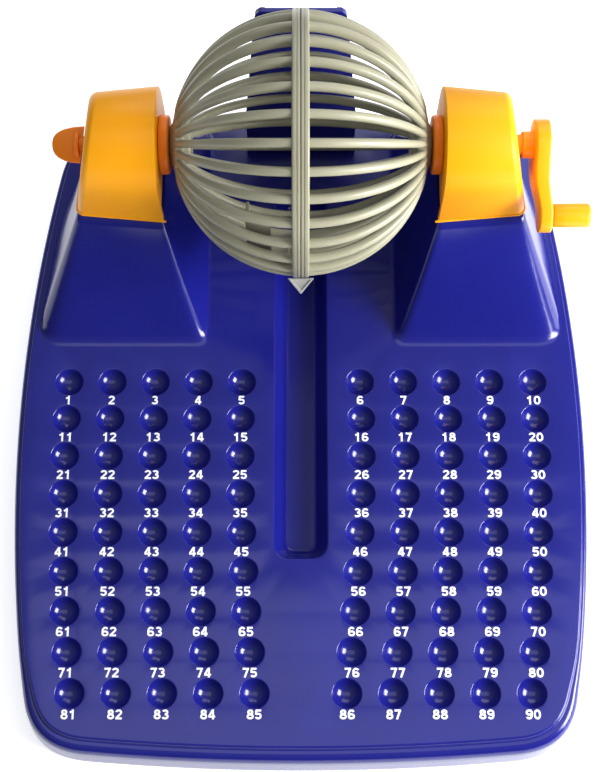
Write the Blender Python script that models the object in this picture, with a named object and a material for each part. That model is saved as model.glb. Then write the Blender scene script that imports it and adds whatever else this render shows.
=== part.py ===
"""Bingo cage: a tray with ninety numbered ball cups and a ball run, two pillars with bearing hoods,
and a ribbed ball cage in two halves that turns with a side crank.

The tray, pillars and cage axis are laid out in the tray's own frame: x to the right, y to the back
along the deck, z square to the deck, with y = 0 on the first row of cups. TRAY tilts that frame
forward and lifts it onto its feet.
"""
import bpy
import bmesh
from math import asin, cos, pi, radians, sin, sqrt
from mathutils import Matrix, Vector
from mathutils.geometry import delaunay_2d_cdt

MM = 0.001
GAP = 0.3 * MM
RUNNING_FIT = 0.05 * MM

# Tray outline, measured in the plane of the deck
BASE_HALF_W = 144.5 * MM
BASE_FRONT = 189.5 * MM
BASE_REAR = 150.0 * MM
WIDEST_Y = -30.0 * MM
SIDE_BOW = 0.64
FRONT_BOW = 0.41
CORNER_R = 31.0 * MM
DECK_TILT = radians(4.0)
DECK_RISE = 34.0 * MM
WALL = 2.2 * MM
FOOT_H = 2.5 * MM
FOOT_R = 5.5 * MM
TRAY_SHIFT = 12.89 * MM
SKIRT_CLEAR = 1.0 * MM

# Cups and ball run
ROWS = 9
COLS = 5
COL_PITCH = 0.15225 * BASE_HALF_W
ROW_PITCH = 0.1028 * BASE_FRONT
INNER_COL = 0.211 * BASE_HALF_W
COL_DRIFT = 0.0064 * INNER_COL
CUP_R = 7.4 * MM
CUP_DEPTH = 5.0 * MM
CUP_SEGS = 8
RUN_HALF_W = 13.2 * MM
RUN_FLOOR_HALF_W = 6.3 * MM
RUN_DEPTH = 11.0 * MM
RUN_END_Y = -0.485 * BASE_FRONT

# Ball cage
CAGE_R = 59.8 * MM
RIB_R = 2.35 * MM
RIB_TIP_R = 1.75 * MM
RIBS = 30
RIB_PHASE = radians(9.19)
BALL_DROP = 21.8 * MM
AXIS_Z = CAGE_R + BALL_DROP
AXIS_Y = BASE_REAR - 58.35 * MM
RIM_HALF_W = 3.9 * MM
RIM_R = CAGE_R + 3.0 * MM
RIM_INNER_R = CAGE_R - 3.2 * MM
POLE_R = 20.2 * MM
POLE_X = CAGE_R + 1.6 * MM
HUB_R = 9.0 * MM
HUB_IN_X = CAGE_R - 8.0 * MM

# Bearings, hoods and pillars
SHAFT_R = 5.0 * MM
PIN_R = 4.0 * MM
BUSH_R = SHAFT_R + 3.0 * MM
FLANGE_R = BUSH_R + 6.0 * MM
FLANGE_X0 = POLE_X + 0.4 * MM
FLANGE_X1 = FLANGE_X0 + 4.7 * MM
HOOD_X0 = FLANGE_X1 + GAP
HOOD_REACH = BASE_HALF_W - HOOD_X0
HOOD_TOP_X = HOOD_X0 + 0.408 * HOOD_REACH
HOOD_FOOT_X = HOOD_X0 + 0.565 * HOOD_REACH
HOOD_LEAN = 0.186
HOOD_SPLAY = 0.063
HOOD_R_IN = 27.3 * MM
HOOD_R_OUT = 23.3 * MM
HOOD_WALL = 2.4 * MM
SHOULDER_Z = AXIS_Z - 28.0 * MM
CHEEK_DROP = 15.0 * MM
HEAD_INSET = HOOD_WALL + 2.0 * GAP
PILLAR_IN_X = 0.8278 * CAGE_R
PILLAR_FRONT_Y = AXIS_Y - 70.0 * MM
BUSH_X1 = HOOD_X0 + 0.33 * HOOD_REACH

# Crank and pull-out pin
ARM_LENGTH = 33.3 * MM
ARM_ANGLE = radians(208.0)
ARM_HUB_R = 12.0 * MM
ARM_TIP_R = 8.0 * MM
COLLAR_X0 = HOOD_X0 + 0.487 * HOOD_REACH
COLLAR_R = SHAFT_R + 1.4 * MM
ARM_X0 = COLLAR_X0 + 5.5 * MM
ARM_THICK = 7.2 * MM
ARM_TIP_THICK = 6.3 * MM
ARM_OFFSET = 3.3 * MM
GRIP_R = 5.9 * MM
GRIP_LENGTH = 17.9 * MM
GRIP_PIN_R = 3.0 * MM
GRIP_SCREW_R = 1.4 * MM
TAB_REACH = 13.7 * MM
TAB_HALF_H = 8.6 * MM
TAB_THICK = 5.0 * MM

# Rear guard
GUARD_R = RIM_R + 11.0 * MM
GUARD_LOW = radians(51.0)
GUARD_WALL = 2.4 * MM
GUARD_FOOT_HALF_W = 29.0 * MM
GUARD_TOP_HALF_W = 22.5 * MM
GUARD_FLANGE = 6.5 * MM
GUARD_TOP_FLANGE = 2.8 * MM
GUARD_SCREW_X = 15.0 * MM
GUARD_FOOT_Y = AXIS_Y + GUARD_R * cos(GUARD_LOW) - 4.3 * MM
GUARD_FOOT_RISE = 4.2 * MM
GUARD_FOOT_BEHIND = 5.5 * MM
SCREW_R = 1.4 * MM
SCREW_HOLE_R = 1.8 * MM
SCREW_HEAD_R = 3.3 * MM
SCREW_HEAD_H = 2.0 * MM

# Ball scoop and outlet beak, as angles round the cage axis
SCOOP_START = radians(158.0)
SCOOP_WIDE = radians(184.0)
SCOOP_END = radians(208.0)
WINDOW_RIB = 18
WINDOW_X = 20.5 * MM
BEAK_ANGLE = radians(207.5)
BEAK_HALF_W = 6.4 * MM
BEAK_HEIGHT = 7.2 * MM
BEAK_THICK = 3.0 * MM

for old in list(bpy.data.objects):
    bpy.data.objects.remove(old, do_unlink=True)

TRAY = Matrix.Translation((0.0, TRAY_SHIFT, DECK_RISE)) @ Matrix.Rotation(DECK_TILT, 4, "X")
AXIS = TRAY @ Vector((0.0, AXIS_Y, AXIS_Z))
ARM_END = TRAY @ Vector((
    0.0,
    AXIS_Y + ARM_LENGTH * cos(ARM_ANGLE),
    AXIS_Z + ARM_LENGTH * sin(ARM_ANGLE),
))


def material(name, colour, roughness, metallic=0.0):
    """A plain moulded plastic, rubber or steel."""
    mat = bpy.data.materials.new(name)
    mat.use_nodes = True
    shader = mat.node_tree.nodes["Principled BSDF"]
    shader.inputs["Base Color"].default_value = (*colour, 1.0)
    shader.inputs["Roughness"].default_value = roughness
    shader.inputs["Metallic"].default_value = metallic
    return mat


BLUE = (0.035, 0.040, 0.300)
ORANGE = (0.930, 0.440, 0.010)
GREY = (0.400, 0.380, 0.290)


def new_object(name, bm, mat, origin=None, smooth=True):
    """Turn a bmesh in the tray's frame into a named object with its origin at a world point."""
    origin = origin or Vector((0.0, 0.0, 0.0))
    bmesh.ops.recalc_face_normals(bm, faces=bm.faces)
    bmesh.ops.transform(bm, matrix=Matrix.Translation(-origin) @ TRAY, verts=bm.verts)
    for face in bm.faces:
        face.smooth = smooth
    mesh = bpy.data.meshes.new(name)
    bm.to_mesh(mesh)
    bm.free()
    ob = bpy.data.objects.new(name, mesh)
    ob.location = origin
    bpy.context.scene.collection.objects.link(ob)
    if mat:
        mesh.materials.append(mat)
    return ob


def boolean(ob, other, operation):
    """Join or cut with a guide solid that is kept as a wire helper."""
    other.hide_render = True
    other.display_type = "WIRE"
    mod = ob.modifiers.new(operation.title() + " " + other.name, "BOOLEAN")
    mod.operation = operation
    mod.solver = "EXACT"
    mod.object = other
    return mod


def loft(bm, rings, closed=False):
    """Skin a row of equal-length rings, and cap the ends unless the row closes on itself."""
    made = []
    for ring in rings:
        made.append([bm.verts.new(point) for point in ring])
    count = len(rings[0])
    spans = len(made) if closed else len(made) - 1
    for i in range(spans):
        near = made[i]
        far = made[(i + 1) % len(made)]
        for j in range(count):
            k = (j + 1) % count
            bm.faces.new((near[j], near[k], far[k], far[j]))
    if not closed:
        bm.faces.new(list(reversed(made[0])))
        bm.faces.new(made[-1])


def turned(bm, profile, centre_y, centre_z, segs=24, side=1.0):
    """Turn a closed (x, radius) profile about a line along x. Radius zero closes on the line."""
    rings = []
    for x, radius in profile:
        if radius == 0.0:
            rings.append([bm.verts.new((side * x, centre_y, centre_z))])
            continue
        ring = []
        for j in range(segs):
            angle = 2.0 * pi * j / segs
            ring.append(bm.verts.new((
                side * x,
                centre_y + radius * cos(angle),
                centre_z + radius * sin(angle),
            )))
        rings.append(ring)
    bored = profile[0][1] != 0.0
    spans = len(rings) if bored else len(rings) - 1
    for i in range(spans):
        near = rings[i]
        far = rings[(i + 1) % len(rings)]
        for j in range(segs):
            k = (j + 1) % segs
            corners = [near[j % len(near)], near[k % len(near)], far[k % len(far)], far[j % len(far)]]
            unique = []
            for vert in corners:
                if vert not in unique:
                    unique.append(vert)
            bm.faces.new(unique)


def on_cage(x, radius, angle):
    """A point at a distance from the cage axis, at an angle round it from the back, over the top."""
    return (x, AXIS_Y + radius * cos(angle), AXIS_Z + radius * sin(angle))


def arc_box(bm, x0, x1, r0, r1, a0, a1, steps):
    """A curved block between two planes, two radii and two angles round the cage axis."""
    rings = []
    for i in range(steps + 1):
        angle = a0 + (a1 - a0) * i / steps
        rings.append([
            on_cage(x0, r0, angle),
            on_cage(x1, r0, angle),
            on_cage(x1, r1, angle),
            on_cage(x0, r1, angle),
        ])
    loft(bm, rings)


# ---- The tray moulding ----

def bezier(p0, p1, p2, p3, steps):
    """Points along a cubic curve, without its last point."""
    points = []
    for i in range(steps):
        t = i / steps
        s = 1.0 - t
        points.append(
            p0 * s ** 3 + p1 * 3.0 * s * s * t + p2 * 3.0 * s * t * t + p3 * t ** 3
        )
    return points


def side_x(y):
    return BASE_HALF_W - SIDE_BOW * (y - WIDEST_Y) ** 2


def front_y(x):
    return -BASE_FRONT + FRONT_BOW * x * x


def outline(offset):
    """The tray's plan outline, moved out by offset: bowed sides and front, rounded corners."""
    side_front = -BASE_FRONT + CORNER_R
    side_rear = BASE_REAR - CORNER_R
    x_front = side_x(side_front) - CORNER_R
    x_rear = side_x(side_rear) - CORNER_R
    reach = 0.55 * CORNER_R
    half = []
    for i in range(5):
        x = x_front * i / 5.0
        half.append(Vector((x, front_y(x))))
    half += bezier(
        Vector((x_front, front_y(x_front))),
        Vector((x_front + reach, front_y(x_front + reach))),
        Vector((side_x(side_front - reach), side_front - reach)),
        Vector((side_x(side_front), side_front)),
        6,
    )
    for i in range(10):
        y = side_front + (side_rear - side_front) * i / 10.0
        half.append(Vector((side_x(y), y)))
    half += bezier(
        Vector((side_x(side_rear), side_rear)),
        Vector((side_x(side_rear + reach), side_rear + reach)),
        Vector((x_rear + reach, BASE_REAR)),
        Vector((x_rear, BASE_REAR)),
        6,
    )
    for i in range(5):
        half.append(Vector((x_rear * (1.0 - i / 4.0), BASE_REAR)))
    mirrored = [Vector((-point.x, point.y)) for point in reversed(half[1:-1])]
    ring = half + mirrored
    moved = []
    for i, point in enumerate(ring):
        along = (ring[(i + 1) % len(ring)] - ring[i - 1]).normalized()
        moved.append(point + offset * Vector((along.y, -along.x)))
    return moved


def rounded_loop(corners, radii, steps):
    """A closed plan loop through rounded corners."""
    points = []
    for i, corner in enumerate(corners):
        before = (corners[i - 1] - corner).normalized()
        after = (corners[(i + 1) % len(corners)] - corner).normalized()
        start = corner + before * radii[i]
        end = corner + after * radii[i]
        for k in range(steps + 1):
            t = k / steps
            points.append(start * (1 - t) ** 2 + corner * 2 * t * (1 - t) + end * t * t)
    return points


class Plan:
    """Loops and lines drawn in plan, each point with its own height, skinned as one surface."""

    def __init__(self):
        self.points = []
        self.heights = []
        self.edges = []

    def point(self, x, y, z):
        self.points.append(Vector((x, y)))
        self.heights.append(z)
        return len(self.points) - 1

    def loop(self, points, z):
        ids = []
        for p in points:
            height = z(p) if callable(z) else z
            ids.append(self.point(p.x, p.y, height))
        for i, this in enumerate(ids):
            self.edges.append((ids[i - 1], this))
        return ids

    def skin(self):
        verts, _, faces, origins, _, _ = delaunay_2d_cdt(
            self.points, self.edges, [], 1, 1e-7
        )
        bm = bmesh.new()
        made = []
        for vert, sources in zip(verts, origins):
            made.append(bm.verts.new((vert.x, vert.y, self.heights[sources[0]])))
        for face in faces:
            bm.faces.new([made[i] for i in face])
        return bm


def table_height(p):
    """The height, in the tray's frame, of the skirt's lower edge under a plan point."""
    lift = SKIRT_CLEAR - DECK_RISE
    return (lift - p.y * sin(DECK_TILT)) / cos(DECK_TILT)


def draw_cups(plan):
    """Ninety ball cups: nine rows of five on each side of the ball run."""
    for row in range(ROWS):
        y = -ROW_PITCH * row
        inner = INNER_COL - COL_DRIFT * (row - 1.4) ** 2
        for col in range(COLS):
            for side in (-1.0, 1.0):
                x = side * (inner + COL_PITCH * col)
                for share, depth in ((1.0, 0.0), (0.68, 0.68)):
                    ring = []
                    for j in range(CUP_SEGS):
                        angle = 2.0 * pi * (j + 0.5) / CUP_SEGS
                        ring.append(Vector((
                            x + share * CUP_R * cos(angle),
                            y + share * CUP_R * sin(angle),
                        )))
                    plan.loop(ring, -depth * CUP_DEPTH)
                plan.point(x, y, -CUP_DEPTH)


def draw_ball_run(plan):
    """The run that catches a ball under the cage and brings it to the front."""
    rear = AXIS_Y + 18.0 * MM
    for half_w, depth in ((RUN_HALF_W, 0.0), (RUN_HALF_W - 2.6 * MM, 0.58), (RUN_FLOOR_HALF_W, 1.0)):
        step = RUN_HALF_W - half_w
        corners = [
            Vector((half_w, RUN_END_Y + step)),
            Vector((half_w, rear - step)),
            Vector((-half_w, rear - step)),
            Vector((-half_w, RUN_END_Y + step)),
        ]
        plan.loop(rounded_loop(corners, [0.62 * half_w] * 4, 3), -depth * RUN_DEPTH)


def hood_radius(x):
    """The hood tapers away from the cage."""
    share = (abs(x) - HOOD_X0) / (HOOD_FOOT_X - HOOD_X0)
    return HOOD_R_IN + (HOOD_R_OUT - HOOD_R_IN) * share


def hood_side_x(y, z):
    """The hood's outer cheek leans in as it rises and turns in towards the back."""
    return HOOD_TOP_X + HOOD_LEAN * (AXIS_Z + HOOD_R_OUT - z) + HOOD_SPLAY * (AXIS_Y - y)


def hood_corner_x(y_side, z, inset):
    """Where the outer cheek meets the front (-1) or back (1) of the hood at a height."""
    x = HOOD_FOOT_X
    for _ in range(4):
        x = hood_side_x(AXIS_Y + y_side * (hood_radius(x) - inset), z)
    return x


def pillar_loop(x0, inset, radius, side):
    """A plan loop under the hood's outline."""
    near = hood_radius(x0) - inset
    front_x = hood_corner_x(-1.0, SHOULDER_Z, inset) - inset
    rear_x = hood_corner_x(1.0, SHOULDER_Z, inset) - inset
    corners = [
        Vector((x0, AXIS_Y - near)),
        Vector((front_x, AXIS_Y - hood_radius(front_x) + inset)),
        Vector((rear_x, AXIS_Y + hood_radius(rear_x) - inset)),
        Vector((x0, AXIS_Y + near)),
    ]
    points = rounded_loop(corners, [radius] * 4, 2)
    return [Vector((side * p.x, p.y)) for p in points]


def draw_pillar(plan, side):
    """A pillar that flares from the hood's foot out to the tray's edge."""
    rim = 6.0 * MM
    rear = BASE_REAR - rim - 1.0 * MM
    foot_out = side_x(PILLAR_FRONT_Y) - rim - 0.5 * MM
    rear_out = side_x(rear) - rim - 14.0 * MM
    foot = [
        Vector((PILLAR_IN_X, PILLAR_FRONT_Y)),
        Vector((foot_out, PILLAR_FRONT_Y)),
        Vector((side_x(AXIS_Y) - rim - 1.5 * MM, AXIS_Y)),
        Vector((rear_out, rear)),
        Vector((PILLAR_IN_X, rear)),
    ]
    loop = rounded_loop(foot, [5.0 * MM, 14.0 * MM, 20.0 * MM, 16.0 * MM, 5.0 * MM], 2)
    plan.loop([Vector((side * p.x, p.y)) for p in loop], 0.0)
    middle_z = 0.45 * SHOULDER_Z
    blend = 0.52
    flare = 0.46
    top = pillar_loop(HOOD_X0, 0.0, 4.0 * MM, 1.0)
    near_y = AXIS_Y - HOOD_R_IN
    far_y = AXIS_Y + HOOD_R_IN
    mid_in = HOOD_X0 - (HOOD_X0 - PILLAR_IN_X) * blend
    mid_out = HOOD_FOOT_X + (foot_out - HOOD_FOOT_X) * flare
    top_rear_out = hood_corner_x(1.0, SHOULDER_Z, 0.0)
    mid_rear_out = top_rear_out + (rear_out - top_rear_out) * flare
    mid_front = near_y - (near_y - PILLAR_FRONT_Y) * blend
    mid_rear = far_y + (rear - far_y) * blend
    mid_corners = [
        Vector((mid_in, mid_front)),
        Vector((mid_out, mid_front + 3.0 * MM)),
        Vector((mid_rear_out, mid_rear - 3.0 * MM)),
        Vector((mid_in, mid_rear)),
    ]
    mid = rounded_loop(mid_corners, [4.5 * MM, 7.0 * MM, 7.0 * MM, 4.5 * MM], 2)
    plan.loop([Vector((side * p.x, p.y)) for p in mid], middle_z)
    plan.loop([Vector((side * p.x, p.y)) for p in top], SHOULDER_Z)
    head_x0 = HOOD_X0 + HEAD_INSET
    plan.loop(pillar_loop(head_x0, HEAD_INSET + GAP, 2.0 * MM, side), SHOULDER_Z + 0.2 * MM)
    draw_saddle(plan, side, head_x0 + 0.9 * MM)


def draw_saddle(plan, side, x0):
    """The pillar's head under the hood, with a half-round saddle across it for the bush."""
    x1 = hood_corner_x(1.0, AXIS_Z, 0.0) - HEAD_INSET - 1.2 * MM
    groove = BUSH_R + GAP
    steps = 6
    rows = []
    for x in (x0, x1):
        half = hood_radius(x) - HEAD_INSET - 0.9 * MM
        row = [plan.point(side * x, AXIS_Y - half, AXIS_Z - GAP)]
        for i in range(steps + 1):
            angle = pi * i / steps
            row.append(plan.point(
                side * x,
                AXIS_Y - groove * cos(angle),
                AXIS_Z - GAP - groove * sin(angle),
            ))
        row.append(plan.point(side * x, AXIS_Y + half, AXIS_Z - GAP))
        rows.append(row)
    for row in rows:
        for i in range(len(row) - 1):
            plan.edges.append((row[i], row[i + 1]))
    for a, b in zip(*rows):
        plan.edges.append((a, b))


def build_tray():
    """One hollow moulding: deck, cups, run, pillars and skirt, open underneath."""
    plan = Plan()
    plan.loop(outline(0.8 * MM), table_height)
    plan.loop(outline(-0.8 * MM), -4.2 * MM)
    plan.loop(outline(-3.0 * MM), -2.0 * MM)
    plan.loop(outline(-5.6 * MM), 0.0)
    draw_cups(plan)
    draw_ball_run(plan)
    for side in (-1.0, 1.0):
        draw_pillar(plan, side)
    for side in (-1.0, 1.0):
        hole = []
        for j in range(8):
            angle = 2.0 * pi * j / 8
            hole.append(Vector((
                side * GUARD_SCREW_X + 2.0 * MM * cos(angle),
                GUARD_FOOT_Y + 2.0 * MM * sin(angle),
            )))
        plan.loop(hole, 0.0)
    bm = plan.skin()
    holes = []
    for face in bm.faces:
        centre = face.calc_center_median()
        for side in (-1.0, 1.0):
            if (centre.xy - Vector((side * GUARD_SCREW_X, GUARD_FOOT_Y))).length < 1.9 * MM:
                holes.append(face)
    bmesh.ops.delete(bm, geom=holes, context="FACES")
    for face in bm.faces:
        if face.normal.z < 0.0:
            face.normal_flip()
    tray = new_object("tray_moulding", bm, material("blue plastic", BLUE, 0.22), smooth=False)
    if sum(p.normal.z for p in tray.data.polygons) < 0.0:
        tray.data.flip_normals()
    shell = tray.modifiers.new("Wall", "SOLIDIFY")
    shell.thickness = WALL
    shell.offset = -1.0
    shell.use_even_offset = True
    return tray


def foot_places():
    front = (0.815 * BASE_HALF_W, -0.87 * BASE_FRONT)
    rear = (0.76 * PILLAR_IN_X, BASE_REAR - 19.0 * MM)
    return [
        ("front_left", -front[0], front[1]),
        ("front_right", front[0], front[1]),
        ("rear_left", -rear[0], rear[1]),
        ("rear_right", rear[0], rear[1]),
    ]


def build_feet(tray):
    """Four posts under the deck, part of the tray, each with its own rubber foot."""
    rubber = material("black rubber", (0.02, 0.02, 0.022), 0.8)
    to_tray = TRAY.inverted()
    posts = bmesh.new()
    for name, x, y in foot_places():
        place = TRAY @ Vector((x, y, 0.0))
        low = []
        high = []
        rings = [[], [], []]
        for j in range(12):
            angle = 2.0 * pi * j / 12
            dx = FOOT_R * cos(angle)
            dy = FOOT_R * sin(angle)
            low.append(to_tray @ Vector((place.x + dx, place.y + dy, FOOT_H + GAP)))
            high.append(Vector((x + 0.8 * dx, y + 0.8 * dy, -0.5 * WALL)))
            for ring, shrink, z in zip(rings, (0.85, 1.0, 1.0), (0.0, 0.5 * MM, FOOT_H)):
                ring.append(to_tray @ Vector((place.x + shrink * dx, place.y + shrink * dy, z)))
        loft(posts, [low, high])
        foot = bmesh.new()
        loft(foot, rings)
        new_object("foot_" + name, foot, rubber)
    guide = new_object("foot_posts_guide", posts, None)
    boolean(tray, guide, "UNION")


# ---- Rear guard ----

def guard_stations():
    """From the foot straight up, then round behind the cage.

    Each station holds a point, the outward direction, the half width and the flange depth.
    """
    low = -GUARD_LOW
    front_y = AXIS_Y + GUARD_R * cos(low)
    stations = [(Vector((front_y, GAP)), Vector((1.0, 0.0)), GUARD_FOOT_HALF_W, GUARD_FLANGE)]
    steps = 8
    top = radians(-1.0)
    for i in range(steps + 1):
        angle = low + (top - low) * i / steps
        outward = Vector((cos(angle), sin(angle)))
        share = i / steps
        half_w = GUARD_FOOT_HALF_W + (GUARD_TOP_HALF_W - GUARD_FOOT_HALF_W) * share
        if i == steps:
            half_w -= 1.6 * MM
        flange = GUARD_FLANGE + (GUARD_TOP_FLANGE - GUARD_FLANGE) * share
        stations.append((Vector((AXIS_Y, AXIS_Z)) + outward * GUARD_R, outward, half_w, flange))
    return stations


def build_guard(blue):
    """A curved wall behind the cage with stiffening flanges on its back."""
    stations = guard_stations()
    bm = bmesh.new()
    rings = []
    for base, out, w, flange in stations:
        section = [
            (-w, 0.0), (w, 0.0), (w, flange), (w - GUARD_WALL, flange),
            (w - GUARD_WALL, GUARD_WALL), (GUARD_WALL - w, GUARD_WALL),
            (GUARD_WALL - w, flange), (-w, flange),
        ]
        ring = []
        for x, depth in section:
            spot = base + out * depth
            ring.append((x, spot.x, spot.y))
        rings.append(ring)
    loft(bm, rings)
    guard = new_object("rear_ball_guard", bm, blue, smooth=False)
    foot = bmesh.new()
    front_y = stations[0][0].x
    w = GUARD_FOOT_HALF_W
    rings = []
    back_y = GUARD_FOOT_Y - GUARD_FOOT_BEHIND
    for z in (GAP, GUARD_FOOT_RISE):
        rings.append([
            (-w, front_y + 1.0 * MM, z), (-w, back_y, z),
            (w, back_y, z), (w, front_y + 1.0 * MM, z),
        ])
    loft(foot, rings)
    boolean(guard, new_object("guard_foot_guide", foot, None), "UNION")
    steel = material("plated steel", (0.6, 0.6, 0.62), 0.3, 1.0)
    holes = bmesh.new()

    def circle(centre_x, radius, z):
        ring = []
        for j in range(12):
            angle = 2.0 * pi * j / 12
            ring.append((centre_x + radius * cos(angle), GUARD_FOOT_Y + radius * sin(angle), z))
        return ring

    below = -WALL - GAP
    for side, name in ((-1.0, "left"), (1.0, "right")):
        x = side * GUARD_SCREW_X
        loft(holes, [circle(x, SCREW_HOLE_R, z) for z in (-1.0 * MM, GUARD_FOOT_RISE + 1.8 * MM)])
        profile = (
            (SCREW_HEAD_R - 0.7 * MM, below - SCREW_HEAD_H),
            (SCREW_HEAD_R, below - SCREW_HEAD_H + 0.6 * MM),
            (SCREW_HEAD_R, below),
            (SCREW_R, below),
            (SCREW_R, GUARD_FOOT_RISE - 0.8 * MM),
        )
        screw = bmesh.new()
        loft(screw, [circle(x, radius, z) for radius, z in profile])
        new_object("guard_screw_" + name, screw, steel)
    boolean(guard, new_object("guard_holes_guide", holes, None), "DIFFERENCE")


# ---- Bearings ----

def arch_ring(x_at, inset, z_bottom, steps=10):
    """An arch round the cage axis. x_at gives the position along the axis for a y and a height."""
    def spot(direction_y, direction_z, z):
        x = HOOD_X0
        for _ in range(4):
            radius = hood_radius(x) - inset
            height = z if direction_z is None else AXIS_Z + radius * direction_z
            x = x_at(AXIS_Y + radius * direction_y, height)
        radius = hood_radius(x) - inset
        height = z if direction_z is None else AXIS_Z + radius * direction_z
        return (x, AXIS_Y + radius * direction_y, height)
    ring = [spot(-1.0, None, z_bottom)]
    for i in range(steps + 1):
        angle = pi - pi * i / steps
        ring.append(spot(cos(angle), sin(angle), AXIS_Z))
    ring.append(spot(1.0, None, z_bottom))
    return ring


def mirror(ring, side):
    return [(side * x, y, z) for x, y, z in ring]


def build_hood(side, name, orange):
    """A hood that drops over the pillar's head and holds the bush down in its saddle."""
    bottom = SHOULDER_Z + GAP
    bm = bmesh.new()
    loft(bm, [
        mirror(arch_ring(lambda y, z: HOOD_X0, 0.0, bottom), side),
        mirror(arch_ring(hood_side_x, 0.0, bottom), side),
    ])
    outer_edges = []
    for edge in bm.edges:
        a, b = (abs(v.co.x) for v in edge.verts)
        heights = [v.co.z for v in edge.verts]
        if min(a, b) > HOOD_X0 + 5.0 * MM and max(heights) > bottom + 1.0 * MM:
            outer_edges.append(edge)
    bmesh.ops.bevel(bm, geom=outer_edges, offset=3.5 * MM, segments=2, affect="EDGES", profile=0.5)
    hood = new_object("bearing_hood_" + name, bm, orange)
    cavity = bmesh.new()
    loft(cavity, [
        mirror(arch_ring(lambda y, z: HOOD_X0 + HOOD_WALL, HOOD_WALL, bottom - 4.0 * MM), side),
        mirror(arch_ring(
            lambda y, z: hood_side_x(y, z) - HOOD_WALL, HOOD_WALL, bottom - 4.0 * MM
        ), side),
    ])
    boolean(hood, new_object("hood_cavity_guide_" + name, cavity, None), "DIFFERENCE")
    cheek = bmesh.new()
    half = HOOD_R_IN - HOOD_WALL - 0.4 * MM
    top = AXIS_Z - CHEEK_DROP
    rings = []
    for x in (HOOD_X0 - 2.0 * MM, HOOD_X0 + HOOD_WALL + 0.7 * MM):
        rings.append([
            (side * x, AXIS_Y - half, bottom - 5.0 * MM), (side * x, AXIS_Y + half, bottom - 5.0 * MM),
            (side * x, AXIS_Y + half, top), (side * x, AXIS_Y - half, top),
        ])
    loft(cheek, rings)
    boolean(hood, new_object("hood_cheek_guide_" + name, cheek, None), "DIFFERENCE")
    notch = BUSH_R + GAP
    slot = SHAFT_R + 1.0 * MM
    for label, radius, x0, x1 in (
        ("notch", notch, HOOD_X0 - 1.0 * MM, HOOD_X0 + 5.0 * MM),
        ("slot", slot, HOOD_TOP_X, HOOD_FOOT_X + 4.0 * MM),
    ):
        cut = bmesh.new()
        rings = []
        for x in (x0, x1):
            ring = [(side * x, AXIS_Y + radius, bottom - 6.0 * MM)]
            for i in range(9):
                angle = pi * i / 8
                ring.append((side * x, AXIS_Y + radius * cos(angle), AXIS_Z + radius * sin(angle)))
            ring.append((side * x, AXIS_Y - radius, bottom - 6.0 * MM))
            rings.append(ring)
        loft(cut, rings)
        boolean(hood, new_object("hood_%s_guide_%s" % (label, name), cut, None), "DIFFERENCE")


def build_bush(side, name, bore, orange):
    """A flanged bush between the cage's pole and the hood."""
    bm = bmesh.new()
    turned(bm, [
        (FLANGE_X0, bore), (FLANGE_X0, FLANGE_R - 1.0 * MM), (FLANGE_X0 + 1.0 * MM, FLANGE_R),
        (FLANGE_X1, FLANGE_R), (FLANGE_X1, BUSH_R), (BUSH_X1, BUSH_R), (BUSH_X1, bore),
    ], AXIS_Y, AXIS_Z, side=side)
    new_object("bearing_bush_" + name, bm, orange)


# ---- Ball cage ----

def rib(bm, side, angle, u_start, u_end):
    """One rib on a meridian of the cage, slimmer towards the pole."""
    steps = 5
    rings = []
    for i in range(steps + 1):
        u = u_start + (u_end - u_start) * i / steps
        slim = max(0.0, (u - radians(40.0)) / (u_end - radians(40.0)))
        thick = RIB_R + (RIB_TIP_R - RIB_R) * slim
        ring = []
        for j in range(6):
            turn = 2.0 * pi * j / 6
            radial = CAGE_R + thick * sin(turn)
            across = thick * cos(turn)
            r = radial * cos(u)
            ring.append((
                side * radial * sin(u),
                AXIS_Y + r * cos(angle) - across * sin(angle),
                AXIS_Z + r * sin(angle) + across * cos(angle),
            ))
        rings.append(ring)
    loft(bm, rings)


def sphere_x(radius, r):
    return sqrt(radius * radius - r * r)


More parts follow.
